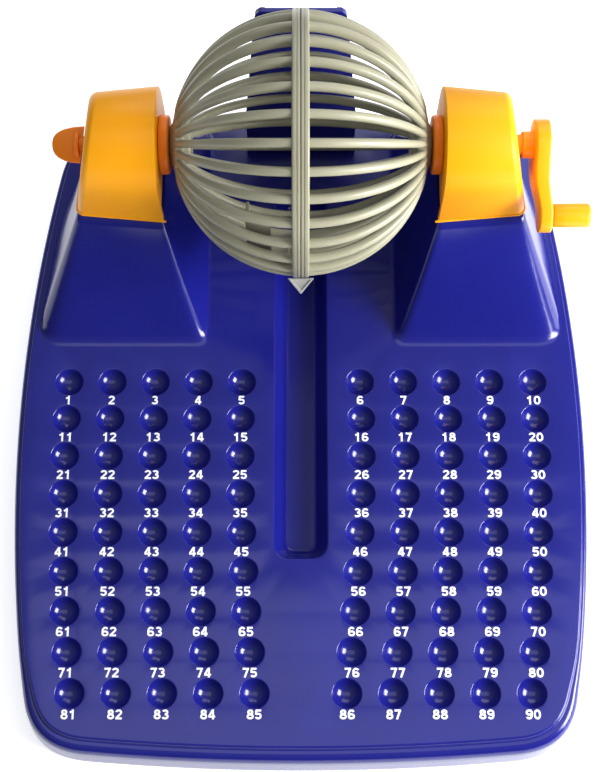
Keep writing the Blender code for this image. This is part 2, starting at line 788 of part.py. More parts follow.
def build_cage_half(side, name, grey):
    """Half the cage in one moulding: rim, ribs, pole and hub."""
    bm = bmesh.new()
    turned(bm, [
        (0.5 * GAP, RIM_INNER_R), (0.5 * GAP, RIM_R), (RIM_HALF_W - 0.8 * MM, RIM_R),
        (RIM_HALF_W, RIM_R - 0.8 * MM), (RIM_HALF_W, RIM_INNER_R),
    ], AXIS_Y, AXIS_Z, segs=60, side=side)
    inner = CAGE_R - RIB_R
    outer = CAGE_R + RIB_R
    middle = 0.5 * (POLE_R + HUB_R)
    turned(bm, [
        (HUB_IN_X, 0.0), (HUB_IN_X, HUB_R - 1.0 * MM), (HUB_IN_X + 1.0 * MM, HUB_R),
        (sphere_x(inner, HUB_R), HUB_R), (sphere_x(inner, middle), middle),
        (sphere_x(inner, POLE_R), POLE_R), (sphere_x(outer, POLE_R), POLE_R),
        (sphere_x(outer, middle), middle), (POLE_X, HUB_R + 1.0 * MM), (POLE_X, 0.0),
    ], AXIS_Y, AXIS_Z, segs=30, side=side)
    half = new_object("cage_half_" + name, bm, grey, AXIS)
    ribs = bmesh.new()
    u_pole = pi / 2.0 - asin((POLE_R - 1.7 * MM) / CAGE_R)
    for k in range(RIBS):
        start = RIM_HALF_W - 1.3 * MM
        if side < 0.0 and k == WINDOW_RIB:
            start = WINDOW_X - 0.7 * MM
        angle = RIB_PHASE + 2.0 * pi * k / RIBS
        rib(ribs, side, angle, asin(start / CAGE_R), u_pole)
    boolean(half, new_object("ribs_guide_" + name, ribs, None, AXIS), "UNION")
    if side < 0.0:
        bar = bmesh.new()
        radius = sphere_x(CAGE_R, WINDOW_X)
        pitch = 2.0 * pi / RIBS
        window = RIB_PHASE + pitch * WINDOW_RIB
        thick = 0.75 * RIB_R
        arc_box(
            bar, side * (WINDOW_X - thick), side * (WINDOW_X + thick),
            radius - thick, radius + thick, window - pitch, window + pitch, 4,
        )
        boolean(half, new_object("window_bar_guide", bar, None, AXIS), "UNION")
    socket = bmesh.new()
    if side > 0.0:
        radius = 4.4 * MM + GAP
        segs = 6
    else:
        radius = PIN_R + RUNNING_FIT
        segs = 24
    turned(socket, [
        (HUB_IN_X + 2.0 * MM, 0.0), (HUB_IN_X + 2.0 * MM, radius),
        (POLE_X + 2.0 * MM, radius), (POLE_X + 2.0 * MM, 0.0),
    ], AXIS_Y, AXIS_Z, segs=segs, side=side)
    boolean(half, new_object("socket_guide_" + name, socket, None, AXIS), "DIFFERENCE")


def scoop_r(x, depth):
    """Just inside the ribs, at a distance along the axis and a depth below them."""
    return sqrt((CAGE_R - RIB_R - 0.6 * MM - depth) ** 2 - x * x)


def build_scoop(grey):
    """A curved pocket beside the rim that lifts one ball at a time to the outlet window."""
    far = -25.0 * MM
    wall = 1.6 * MM
    lip = 10.0 * MM

    def stretch(near, walled, a0, a1):
        bm = bmesh.new()
        rings = []
        steps = 4
        for i in range(steps + 1):
            angle = a0 + (a1 - a0) * i / steps
            section = [
                (far, scoop_r(far, 0.0)), (near, scoop_r(near, 0.0)),
            ]
            if walled:
                section += [
                    (near, scoop_r(near, lip)), (near - wall, scoop_r(near, lip)),
                    (near - wall, scoop_r(near, wall)),
                ]
            else:
                section.append((near, scoop_r(near, wall)))
            section += [
                (far + wall, scoop_r(far, wall)), (far + wall, scoop_r(far, lip)),
                (far, scoop_r(far, lip)),
            ]
            rings.append([on_cage(x, r, angle) for x, r in section])
        loft(bm, rings)
        return bm

    overlap = radians(0.6)
    scoop = new_object(
        "ball_scoop", stretch(-13.5 * MM, False, SCOOP_START, SCOOP_WIDE), grey, AXIS, smooth=False
    )
    wide = new_object(
        "scoop_mouth_guide", stretch(-5.2 * MM, True, SCOOP_WIDE - overlap, SCOOP_END), None, AXIS
    )
    boolean(scoop, wide, "UNION")


def build_beak():
    """A pointed outlet lip on the outside of the rim."""
    light = material("light grey plastic", (0.52, 0.52, 0.50), 0.4)
    bm = bmesh.new()
    out = Vector((cos(BEAK_ANGLE), sin(BEAK_ANGLE)))
    along = Vector((-out.y, out.x))
    base = Vector((AXIS_Y, AXIS_Z)) + out * (RIM_R + 1.5 * GAP)
    rings = []
    tip = 0.6 * MM
    corners = ((-BEAK_HALF_W, 0.0), (BEAK_HALF_W, 0.0), (tip, BEAK_HEIGHT), (-tip, BEAK_HEIGHT))
    for shift in (-0.5 * BEAK_THICK, 0.5 * BEAK_THICK):
        ring = []
        for x, height in corners:
            spot = base + out * height + along * shift
            ring.append((x, spot.x, spot.y))
        rings.append(ring)
    loft(bm, rings)
    new_object("outlet_beak", bm, light, AXIS, smooth=False)


# ---- Crank, grip and pull-out pin ----

def arm_point(x, along, across):
    """A point on the crank arm, from the cage axis along the arm and square to it."""
    return (
        x,
        AXIS_Y + along * cos(ARM_ANGLE) - across * sin(ARM_ANGLE),
        AXIS_Z + along * sin(ARM_ANGLE) + across * cos(ARM_ANGLE),
    )


def build_crank(orange):
    """Shaft, arm and grip spigot in one moulding."""
    steel = material("spring steel", (0.5, 0.5, 0.52), 0.35, 1.0)
    groove_x = BUSH_X1 + 0.2 * MM
    bm = bmesh.new()
    turned(bm, [
        (POLE_X - 0.6 * MM, 0.0), (POLE_X - 0.6 * MM, 3.6 * MM), (POLE_X + 0.2 * MM, 3.6 * MM),
        (POLE_X + 0.2 * MM, SHAFT_R), (groove_x, SHAFT_R),
        (groove_x, SHAFT_R - 0.8 * MM), (groove_x + 1.6 * MM, SHAFT_R - 0.8 * MM),
        (groove_x + 1.6 * MM, SHAFT_R), (COLLAR_X0, SHAFT_R), (COLLAR_X0, COLLAR_R),
        (ARM_X0 + 1.0 * MM, COLLAR_R), (ARM_X0 + 1.0 * MM, 0.0),
    ], AXIS_Y, AXIS_Z)
    crank = new_object("crank", bm, orange, AXIS)
    drive = bmesh.new()
    turned(drive, [
        (HUB_IN_X + 3.0 * MM, 0.0), (HUB_IN_X + 3.0 * MM, 4.4 * MM),
        (POLE_X - 0.1 * MM, 4.4 * MM), (POLE_X - 0.1 * MM, 0.0),
    ], AXIS_Y, AXIS_Z, segs=6)
    boolean(crank, new_object("drive_end_guide", drive, None, AXIS), "UNION")
    arm = bmesh.new()
    rings = []
    spread = ARM_LENGTH + ARM_HUB_R + ARM_TIP_R
    steps = 12
    for i in range(steps + 1):
        turn = pi * i / steps
        along = -ARM_HUB_R + spread * (1.0 - cos(turn)) / 2.0
        share = min(1.0, max(0.0, along / ARM_LENGTH))
        full = ARM_HUB_R + (ARM_TIP_R - ARM_HUB_R) * share
        beyond = max(0.0, -along, along - ARM_LENGTH)
        half_w = sqrt(max(full * full - beyond * beyond, (1.5 * MM) ** 2))
        bend = min(1.0, max(0.0, (share - 0.4) / 0.6))
        smooth = bend * bend * (3.0 - 2.0 * bend)
        x0 = ARM_X0 + ARM_OFFSET * smooth
        x1 = x0 + ARM_THICK + (ARM_TIP_THICK - ARM_THICK) * smooth
        rings.append([
            arm_point(x0, along, -half_w), arm_point(x1, along, -half_w),
            arm_point(x1, along, half_w), arm_point(x0, along, half_w),
        ])
    loft(arm, rings)
    boolean(crank, new_object("arm_guide", arm, None, AXIS), "UNION")
    end_y = AXIS_Y + ARM_LENGTH * cos(ARM_ANGLE)
    end_z = AXIS_Z + ARM_LENGTH * sin(ARM_ANGLE)
    face_x = ARM_X0 + ARM_OFFSET + ARM_TIP_THICK
    grip_x0 = face_x + 0.6 * MM
    grip_x1 = grip_x0 + GRIP_LENGTH
    bore_x = grip_x1 - 3.4 * MM
    spigot = bmesh.new()
    turned(spigot, [
        (face_x - 1.0 * MM, 0.0), (face_x - 1.0 * MM, 4.3 * MM), (face_x + 0.3 * MM, 4.3 * MM),
        (face_x + 0.3 * MM, GRIP_PIN_R), (bore_x + 0.2 * MM, GRIP_PIN_R), (bore_x + 0.2 * MM, 0.0),
    ], end_y, end_z)
    boolean(crank, new_object("spigot_guide", spigot, None, AXIS), "UNION")
    pilot = bmesh.new()
    turned(pilot, [
        (face_x + 3.0 * MM, 0.0), (face_x + 3.0 * MM, GRIP_SCREW_R + GAP),
        (bore_x + 2.0 * MM, GRIP_SCREW_R + GAP), (bore_x + 2.0 * MM, 0.0),
    ], end_y, end_z, segs=12)
    boolean(crank, new_object("pilot_guide", pilot, None, AXIS), "DIFFERENCE")
    grip = bmesh.new()
    turned(grip, [
        (grip_x0, GRIP_PIN_R + RUNNING_FIT), (grip_x0, GRIP_R - 1.0 * MM),
        (grip_x0 + 0.8 * MM, GRIP_R - 0.2 * MM), (grip_x1 - 1.6 * MM, GRIP_R),
        (grip_x1 - 0.4 * MM, GRIP_R - 0.6 * MM), (grip_x1, GRIP_R - 1.6 * MM),
        (grip_x1, 4.3 * MM), (bore_x, 4.3 * MM), (bore_x, GRIP_PIN_R + RUNNING_FIT),
    ], end_y, end_z)
    new_object("handle_grip", grip, orange, ARM_END)
    screw = bmesh.new()
    turned(screw, [
        (face_x + 4.0 * MM, 0.0), (face_x + 4.0 * MM, GRIP_SCREW_R),
        (bore_x + 0.5 * MM, GRIP_SCREW_R), (bore_x + 0.5 * MM, 3.8 * MM),
        (bore_x + 1.8 * MM, 3.8 * MM), (bore_x + 2.5 * MM, 2.6 * MM), (bore_x + 2.5 * MM, 0.0),
    ], end_y, end_z, segs=12)
    new_object("grip_screw", screw, steel, AXIS)
    clip = bmesh.new()
    arc_box(
        clip, groove_x + 0.3 * MM, groove_x + 1.3 * MM,
        SHAFT_R - 0.8 * MM + GAP, SHAFT_R + 3.0 * MM, radians(20.0), radians(320.0), 12,
    )
    new_object("shaft_retaining_clip", clip, steel, AXIS)


def build_axle_pin(orange):
    """The plain pin that carries the cage's left hub and pulls out by its tab."""
    bm = bmesh.new()
    turned(bm, [
        (HUB_IN_X + 3.0 * MM, 0.0), (HUB_IN_X + 3.0 * MM, PIN_R - 0.8 * MM),
        (HUB_IN_X + 4.0 * MM, PIN_R), (COLLAR_X0, PIN_R), (COLLAR_X0, COLLAR_R),
        (COLLAR_X0 + 2.0 * MM, COLLAR_R), (COLLAR_X0 + 2.0 * MM, 0.0),
    ], AXIS_Y, AXIS_Z, side=-1.0)
    pin = new_object("axle_pin", bm, orange, AXIS)
    tab = bmesh.new()
    rings = []
    steps = 6
    for i in range(steps + 1):
        turn = 0.5 * pi * i / steps
        x = -(COLLAR_X0 + 0.8 * MM + (TAB_REACH - 1.6 * MM) * sin(turn))
        half_h = max(TAB_HALF_H * cos(turn) ** 0.7, 1.6 * MM)
        half_t = 0.5 * TAB_THICK
        rings.append([
            arm_point(x, -half_h, -half_t), arm_point(x, half_h, -half_t),
            arm_point(x, half_h, half_t), arm_point(x, -half_h, half_t),
        ])
    loft(tab, rings)
    boolean(pin, new_object("tab_guide", tab, None, AXIS), "UNION")


tray_object = build_tray()
build_feet(tray_object)
build_guard(material("guard blue plastic", BLUE, 0.25))
for hood_side, hood_name in ((-1.0, "left"), (1.0, "right")):
    build_hood(hood_side, hood_name, material("hood orange " + hood_name, ORANGE, 0.35))
    build_cage_half(hood_side, hood_name, material("cage grey " + hood_name, GREY, 0.4))
build_bush(-1.0, "left", PIN_R + RUNNING_FIT, material("bush orange left", (0.70, 0.22, 0.01), 0.4))
build_bush(1.0, "right", SHAFT_R + RUNNING_FIT, material("bush orange right", (0.70, 0.22, 0.01), 0.4))
build_scoop(material("scoop grey", (0.36, 0.34, 0.26), 0.45))
build_beak()
build_crank(material("crank orange", ORANGE, 0.35))
build_axle_pin(material("pin orange", (0.85, 0.33, 0.01), 0.35))
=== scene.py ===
# The finished look of a bingo cage: a glossy blue tray with ninety numbered cups and a ball run,
# orange bearing hoods on its pillars, and a grey ribbed cage turned by an orange crank.
from math import asin, cos, pi, radians, sin, sqrt

import bmesh
import bpy
from mathutils import Matrix, Vector
from mathutils.geometry import delaunay_2d_cdt


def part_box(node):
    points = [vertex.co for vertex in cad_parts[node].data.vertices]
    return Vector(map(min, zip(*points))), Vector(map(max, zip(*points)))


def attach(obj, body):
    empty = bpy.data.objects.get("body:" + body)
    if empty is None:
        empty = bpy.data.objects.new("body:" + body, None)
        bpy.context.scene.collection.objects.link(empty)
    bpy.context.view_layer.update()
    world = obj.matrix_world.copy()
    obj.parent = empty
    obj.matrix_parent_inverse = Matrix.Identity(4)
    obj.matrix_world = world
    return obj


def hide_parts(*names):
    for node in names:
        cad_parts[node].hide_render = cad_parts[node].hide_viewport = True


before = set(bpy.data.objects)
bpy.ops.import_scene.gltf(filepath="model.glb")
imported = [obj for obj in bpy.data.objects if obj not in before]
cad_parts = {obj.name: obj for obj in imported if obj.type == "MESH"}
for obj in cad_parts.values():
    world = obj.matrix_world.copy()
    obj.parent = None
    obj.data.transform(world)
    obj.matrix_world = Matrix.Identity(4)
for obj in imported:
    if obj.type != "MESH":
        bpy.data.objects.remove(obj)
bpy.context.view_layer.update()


# ==== Tray moulding ====
# One hollow injection moulding in glossy blue styrene. It holds the deck with its cups, the ball
# run, the two pillars and the skirt. Everything is laid out in the deck's own frame, which leans
# forward by four degrees.
MM = 0.001
DECK_TILT = radians(4.0)
DECK_SHIFT = 12.89 * MM
DECK_HEIGHT = 34.0 * MM
TRAY = Matrix.Translation((0.0, DECK_SHIFT, DECK_HEIGHT)) @ Matrix.Rotation(DECK_TILT, 4, "X")
HALF_W = 144.5 * MM
FRONT = 189.5 * MM
REAR = 150.0 * MM
CORNER_R = 31.0 * MM
SKIRT_GAP = 1.0 * MM
SKIRT_TOP = 6.2 * MM
CAGE_R = 59.8 * MM
AXIS_Y = REAR - 58.35 * MM
AXIS_Z = CAGE_R + 21.8 * MM
HOOD_X0 = 66.8 * MM
HOOD_TOP_X = 98.5 * MM
HOOD_FOOT_X = 110.7 * MM
HOOD_LEAN = 0.186
HOOD_SPLAY = 0.063
HOOD_R_IN = 27.3 * MM
HOOD_R_OUT = 23.3 * MM
SHOULDER_Z = AXIS_Z - 28.0 * MM
PILLAR_IN_X = 49.5 * MM
PILLAR_REACH = 70.0 * MM
PILLAR_FRONT_Y = AXIS_Y - PILLAR_REACH
PILLAR_REAR_Y = REAR - 7.0 * MM
PILLAR_REAR_X = 104.0 * MM
EDGE_GAP_FRONT = 6.6 * MM
EDGE_GAP_MIDDLE = 7.4 * MM
SADDLE_R = 8.3 * MM
CUP_INNER = 30.49 * MM
CUP_BOW = 0.195 * MM
CUP_PITCH = 22.0 * MM
ROW_PITCH = 19.48 * MM
RUN_FRONT = -91.9 * MM
RUN_BEHIND_AXIS = 18.0 * MM
TRAY_WALL = 2.2 * MM


def side_x(y):
    return HALF_W - 0.64 * (y + 0.030) ** 2


def front_y(x):
    return -FRONT + 0.41 * x * x


def bezier(points, steps):
    """Points along a cubic curve, without its last point."""
    p0, p1, p2, p3 = points
    made = []
    for i in range(steps):
        t = i / steps
        s = 1.0 - t
        made.append(p0 * s ** 3 + p1 * 3.0 * s * s * t + p2 * 3.0 * s * t * t + p3 * t ** 3)
    return made


def outline(offset):
    """The tray's outline in plan, moved out by offset."""
    y_front = -FRONT + CORNER_R
    y_rear = REAR - CORNER_R
    x_front = side_x(y_front) - CORNER_R
    x_rear = side_x(y_rear) - CORNER_R
    reach = 0.55 * CORNER_R
    half = []
    for i in range(14):
        x = x_front * i / 14.0
        half.append(Vector((x, front_y(x))))
    half += bezier((
        Vector((x_front, front_y(x_front))),
        Vector((x_front + reach, front_y(x_front + reach))),
        Vector((side_x(y_front - reach), y_front - reach)),
        Vector((side_x(y_front), y_front)),
    ), 18)
    for i in range(30):
        y = y_front + (y_rear - y_front) * i / 30.0
        half.append(Vector((side_x(y), y)))
    half += bezier((
        Vector((side_x(y_rear), y_rear)),
        Vector((side_x(y_rear + reach), y_rear + reach)),
        Vector((x_rear + reach, REAR)),
        Vector((x_rear, REAR)),
    ), 18)
    for i in range(15):
        half.append(Vector((x_rear * (1.0 - i / 14.0), REAR)))
    ring = half + [Vector((-p.x, p.y)) for p in reversed(half[1:-1])]
    moved = []
    for i, point in enumerate(ring):
        along = (ring[(i + 1) % len(ring)] - ring[i - 1]).normalized()
        moved.append(point + offset * Vector((along.y, -along.x)))
    return moved


def rounded_loop(corners, radii, steps, straight=1):
    """A closed plan loop through rounded corners, with extra points along its straights."""
    points = []
    count = len(corners)
    arcs = []
    for i, corner in enumerate(corners):
        before = (corners[i - 1] - corner).normalized()
        after = (corners[(i + 1) % count] - corner).normalized()
        start = corner + before * radii[i]
        end = corner + after * radii[i]
        arc = []
        for k in range(steps + 1):
            t = k / steps
            arc.append(start * (1 - t) ** 2 + corner * 2 * t * (1 - t) + end * t * t)
        arcs.append(arc)
    for i, arc in enumerate(arcs):
        points += arc
        nxt = arcs[(i + 1) % count][0]
        for k in range(1, straight):
            points.append(arc[-1].lerp(nxt, k / straight))
    return points


def add_ring(bm, points, z):
    """Vertices for a plan loop. z is one height or a function of the plan point."""
    return [bm.verts.new((p.x, p.y, z(p) if callable(z) else z)) for p in points]


def skin(bm, rings, cap=False):
    """Quads between a row of equal-length rings of vertices."""
    for near, far in zip(rings, rings[1:]):
        count = len(near)
        for j in range(count):
            k = (j + 1) % count
            bm.faces.new((near[j], near[k], far[k], far[j]))
    if cap:
        bm.faces.new(rings[-1])


def loft(bm, rings):
    """Skin a row of equal-length rings and cap both ends."""
    made = [[bm.verts.new(p) for p in ring] for ring in rings]
    skin(bm, made)
    bm.faces.new(list(reversed(made[0])))
    bm.faces.new(made[-1])


def hood_radius(x):
    return HOOD_R_IN + (HOOD_R_OUT - HOOD_R_IN) * (abs(x) - HOOD_X0) / (HOOD_FOOT_X - HOOD_X0)


def hood_side_x(y, z):
    return HOOD_TOP_X + HOOD_LEAN * (AXIS_Z + HOOD_R_OUT - z) + HOOD_SPLAY * (AXIS_Y - y)


def hood_corner(toward, z):
    """Plan position where the hood's outer cheek meets its front (-1) or back (1)."""
    x = HOOD_FOOT_X
    for _ in range(4):
        x = hood_side_x(AXIS_Y + toward * hood_radius(x), z)
    return x, AXIS_Y + toward * hood_radius(x)


def pillar_ring(share, side):
    """The pillar's outline in plan at a share of its height, flaring to the deck at the foot."""
    flare = (1.0 - share) ** 1.12
    inner = (1.0 - share) ** 1.25
    fillet = 3.0 * MM * max(0.0, 1.0 - share / 0.07) ** 2
    x_in = HOOD_X0 - (HOOD_X0 - PILLAR_IN_X) * inner - fillet
    top_out, top_front = hood_corner(-1.0, SHOULDER_Z)
    top_back, top_rear = hood_corner(1.0, SHOULDER_Z)
    top_mid = hood_side_x(AXIS_Y, SHOULDER_Z)
    x_out = top_out + (side_x(PILLAR_FRONT_Y) - EDGE_GAP_FRONT - top_out) * flare
    x_mid = top_mid + (side_x(AXIS_Y) - EDGE_GAP_MIDDLE - top_mid) * flare
    x_rear = top_back + (PILLAR_REAR_X - top_back) * flare
    y_front_in = AXIS_Y - HOOD_R_IN - (PILLAR_REACH - HOOD_R_IN) * flare - fillet
    y_front_out = top_front - (top_front - PILLAR_FRONT_Y) * flare - fillet
    y_rear_in = AXIS_Y + HOOD_R_IN + (PILLAR_REAR_Y - AXIS_Y - HOOD_R_IN) * flare
    y_rear_out = top_rear + (PILLAR_REAR_Y - top_rear) * flare
    corners = [
        Vector((x_in, y_front_in)), Vector((x_out, y_front_out)), Vector((x_mid, AXIS_Y)),
        Vector((x_rear, y_rear_out)), Vector((x_in, y_rear_in)),
    ]
    wide = 1.0 - share
    radii = [
        (3.2 + 2.5 * wide) * MM, (3.5 + 11.0 * wide) * MM, (3.0 + 17.0 * wide) * MM,
        (3.5 + 13.0 * wide) * MM, (3.2 + 2.5 * wide) * MM,
    ]
    loop = rounded_loop(corners, radii, 6, 4)
    return [Vector((side * p.x, p.y)) for p in loop]


def head_ring(x, half):
    """The section of the pillar's head, with the half-round saddle that carries the bush."""
    low = SHOULDER_Z - 0.6 * MM
    top = AXIS_Z - 0.3 * MM
    section = [(-half, low), (-half, top)]
    for i in range(17):
        turn = pi * i / 16.0
        section.append((-SADDLE_R * cos(turn), top - SADDLE_R * sin(turn)))
    section += [(half, top), (half, low)]
    return [Vector((x, AXIS_Y + y, z)) for y, z in section]


def build_pillar(bm, side):
    """The pillar, its shoulder under the hood and its head with a half-round saddle."""
    levels = [0.0, 0.012, 0.03, 0.055, 0.09, 0.15, 0.24, 0.35, 0.5, 0.65, 0.8, 0.92, 1.0]
    rings = []
    for share in levels:
        drop = 0.5 * (1.0 - cos(pi * min(1.0, share / 0.055))) if share < 0.055 else 1.0
        rings.append(add_ring(bm, pillar_ring(share, side), SHOULDER_Z * share * drop))
    skin(bm, rings)
    top = [v.co.xy.copy() for v in rings[-1]]
    centre = Vector((side * 0.5 * (HOOD_X0 + HOOD_FOOT_X), AXIS_Y))

    def shrink(points, inset):
        return [p + (centre - p).normalized() * inset for p in points]

    ledge = add_ring(bm, shrink(top, 3.6 * MM), SHOULDER_Z)
    skin(bm, [rings[-1], ledge])
    bm.faces.new(ledge)
    half_in = HOOD_R_IN - 5.6 * MM
    x1 = hood_corner(1.0, AXIS_Z)[0] - 4.8 * MM
    loft(bm, [
        head_ring(side * (HOOD_X0 + 3.9 * MM), half_in),
        head_ring(side * x1, half_in - 2.0 * MM),
    ])
    return rings[0]


def cup_places():
    """Cup centres in printing order: rows of ten from the back."""
    places = []
    for row in range(9):
        inner = CUP_INNER - CUP_BOW * (row - 1.4) ** 2
        y = -ROW_PITCH * row
        for col in range(10):
            if col < 5:
                x = -inner - CUP_PITCH * (4 - col)
            else:
                x = inner + CUP_PITCH * (col - 5)
            places.append((10 * row + col + 1, x, y))
    return places


def circle(x, y, radius, count=32):
    """Plan points round a circle."""
    turns = [2 * pi * j / count for j in range(count)]
    return [Vector((x + radius * cos(turn), y + radius * sin(turn))) for turn in turns]


def build_cup(bm, x, y):
    """A dish for one ball, with a small rolled lip."""
    profile = [
        (7.5, 0.0), (7.2, 0.06), (6.95, 0.3), (6.7, 0.75), (6.35, 1.4), (5.85, 2.15), (5.15, 2.95),
        (4.25, 3.7), (3.15, 4.35), (1.9, 4.8), (0.8, 4.98),
    ]
    rings = []
    for radius, depth in profile:
        rings.append(add_ring(bm, circle(x, y, radius * MM), -depth * MM))
    skin(bm, rings, cap=True)
    return rings[0]


def run_ring(half_w, step):
    rear = AXIS_Y + RUN_BEHIND_AXIS - step
    front = RUN_FRONT + step
    corners = [
        Vector((half_w, front)), Vector((half_w, rear)),
        Vector((-half_w, rear)), Vector((-half_w, front)),
    ]
    return rounded_loop(corners, [0.66 * half_w] * 4, 7, 24)


def build_run(bm):
    """The ball run: a rounded lip, sloping walls and a flat floor."""
    profile = [
        (14.0, 0.0), (13.6, 0.06), (13.25, 0.25), (12.9, 0.65), (12.55, 1.3), (11.6, 3.2),
        (10.2, 6.0), (8.9, 8.6), (8.3, 9.7), (7.6, 10.5), (6.7, 10.9), (5.6, 11.0),
    ]
    rings = []
    for half_w, depth in profile:
        rings.append(add_ring(bm, run_ring(half_w * MM, (14.0 - half_w) * MM), -depth * MM))
    skin(bm, rings, cap=True)
    return rings[0]


def build_edge(bm):
    """The deck's rolled edge, the narrow ledge round it and the skirt down to the table."""
    def table(p):
        return (SKIRT_GAP - DECK_HEIGHT - p.y * sin(DECK_TILT)) / cos(DECK_TILT)

    def widened(offset):
        """The edge is about twice as wide across the front as along the sides and back."""
        made = []
        for slim, wide in zip(outline(0.52 * offset * MM), outline(offset * MM)):
            front = min(1.0, max(0.0, (wide.y + 130.0 * MM) / (-45.0 * MM)))
            made.append(slim.lerp(wide, front * front * (3.0 - 2.0 * front)))
        return made

    profile = [
        (-9.9, 0.0), (-9.3, 0.05), (-8.8, 0.22), (-8.4, 0.55), (-8.15, 1.0), (-7.95, 1.4),
        (-7.6, 1.62), (-7.1, 1.68), (-6.5, 1.66), (-6.0, 1.68), (-5.4, 1.78), (-4.7, 2.0),
        (-4.0, 2.35), (-3.3, 2.85), (-2.7, 3.5), (-2.2, 4.3), (-1.8, 5.2), (-1.5, 6.2),
    ]
    rings = [add_ring(bm, widened(offset), -drop * MM) for offset, drop in profile]
    for share, offset in ((0.35, -0.7), (0.7, 0.15), (0.96, 0.75), (1.0, 0.8)):
        rings.append(add_ring(
            bm, outline(offset * MM),
            lambda p: -SKIRT_TOP + (table(p) + SKIRT_TOP) * share,
        ))
    skin(bm, rings)
    return rings[0]


def new_piece(name, bm, mat, body, nodes, smooth_angle=38.0, in_tray=True, origin=None):
    """Link a piece, give it its material, parent it to its CAD body and hide the CAD nodes it replaces.
    """
    bmesh.ops.recalc_face_normals(bm, faces=bm.faces)
    shift = Matrix.Translation(-(origin or Vector()))
    if in_tray:
        shift = shift @ TRAY
    bmesh.ops.transform(bm, matrix=shift, verts=bm.verts)
    mesh = bpy.data.meshes.new(name)
    bm.to_mesh(mesh)
    bm.free()
    mesh.shade_smooth()
    mesh.set_sharp_from_angle(angle=radians(smooth_angle))
    ob = bpy.data.objects.new(name, mesh)
    ob.location = origin or Vector()
    bpy.context.scene.collection.objects.link(ob)
    mesh.materials.append(mat)
    bpy.context.view_layer.update()
    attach(ob, body)
    if nodes:
        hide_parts(*nodes)
    return ob


def new_group(name, inputs, outputs):
    """A node group with named sockets."""
    group = bpy.data.node_groups.new(name, "ShaderNodeTree")
    for label, kind, value in inputs:
        socket = group.interface.new_socket(name=label, in_out="INPUT", socket_type=kind)
        if value is not None:
            socket.default_value = value
    for label, kind in outputs:
        group.interface.new_socket(name=label, in_out="OUTPUT", socket_type=kind)
    return group, group.nodes.new("NodeGroupInput"), group.nodes.new("NodeGroupOutput")


def moulded_skin():
    """Slow colour drift, fine dust and the faint waviness of a moulded face."""
    group, given, result = new_group(
        "moulded skin",
        [("Drift scale", "NodeSocketFloat", 30.0), ("Speck scale", "NodeSocketFloat", 900.0),
         ("Wave", "NodeSocketFloat", 0.02)],
        [("Drift", "NodeSocketFloat"), ("Dust", "NodeSocketFloat"), ("Normal", "NodeSocketVector")],
    )
    nodes = group.nodes
    links = group.links
    place = nodes.new("ShaderNodeTexCoord")
    drift = nodes.new("ShaderNodeTexNoise")
    drift.inputs["Detail"].default_value = 3.0
    links.new(place.outputs["Object"], drift.inputs["Vector"])
    links.new(given.outputs["Drift scale"], drift.inputs["Scale"])
    links.new(drift.outputs["Fac"], result.inputs["Drift"])
    specks = nodes.new("ShaderNodeTexNoise")
    specks.inputs["Detail"].default_value = 2.0
    specks.inputs["Roughness"].default_value = 0.7
    links.new(place.outputs["Object"], specks.inputs["Vector"])
    links.new(given.outputs["Speck scale"], specks.inputs["Scale"])
    ramp = nodes.new("ShaderNodeMapRange")
    ramp.inputs["From Min"].default_value = 0.62
    ramp.inputs["From Max"].default_value = 0.80
    links.new(specks.outputs["Fac"], ramp.inputs["Value"])
    links.new(ramp.outputs["Result"], result.inputs["Dust"])
    wave = nodes.new("ShaderNodeTexNoise")
    wave.inputs["Scale"].default_value = 42.0
    wave.inputs["Detail"].default_value = 1.5
    links.new(place.outputs["Object"], wave.inputs["Vector"])
    bump = nodes.new("ShaderNodeBump")
    bump.inputs["Distance"].default_value = 0.004
    links.new(given.outputs["Wave"], bump.inputs["Strength"])
    links.new(wave.outputs["Fac"], bump.inputs["Height"])
    links.new(bump.outputs["Normal"], result.inputs["Normal"])
    return group


SKIN = moulded_skin()


def plastic(name, dark, light, rough, drift_scale=30.0, wave=0.02, dust=0.10, ior=1.5):
    """Moulded plastic: two close tones, roughness that follows the drift and a little dust."""
    mat = bpy.data.materials.new(name)
    mat.use_nodes = True
    nodes = mat.node_tree.nodes
    links = mat.node_tree.links
    shader = nodes["Principled BSDF"]
    shader.inputs["IOR"].default_value = ior
    face = nodes.new("ShaderNodeGroup")
    face.node_tree = SKIN
    face.inputs["Drift scale"].default_value = drift_scale
    face.inputs["Wave"].default_value = wave
    tone = nodes.new("ShaderNodeMix")
    tone.data_type = "RGBA"
    tone.inputs["A"].default_value = (*dark, 1.0)
    tone.inputs["B"].default_value = (*light, 1.0)
    links.new(face.outputs["Drift"], tone.inputs["Factor"])
    links.new(tone.outputs["Result"], shader.inputs["Base Color"])
    gloss = nodes.new("ShaderNodeMapRange")
    gloss.inputs["From Min"].default_value = 0.3
    gloss.inputs["From Max"].default_value = 0.7
    gloss.inputs["To Min"].default_value = rough * 0.8
    gloss.inputs["To Max"].default_value = rough * 1.25
    links.new(face.outputs["Drift"], gloss.inputs["Value"])
    dusty = nodes.new("ShaderNodeMath")
    dusty.operation = "MULTIPLY_ADD"
    dusty.inputs[1].default_value = dust
    links.new(face.outputs["Dust"], dusty.inputs[0])
    links.new(gloss.outputs["Result"], dusty.inputs[2])
    links.new(dusty.outputs["Value"], shader.inputs["Roughness"])
    links.new(face.outputs["Normal"], shader.inputs["Normal"])
    return mat


BLUE_DARK = (0.0065, 0.0078, 0.150)
BLUE_LIGHT = (0.0090, 0.0106, 0.195)
BLUE = plastic("glossy blue styrene", BLUE_DARK, BLUE_LIGHT, 0.17, wave=0.03)


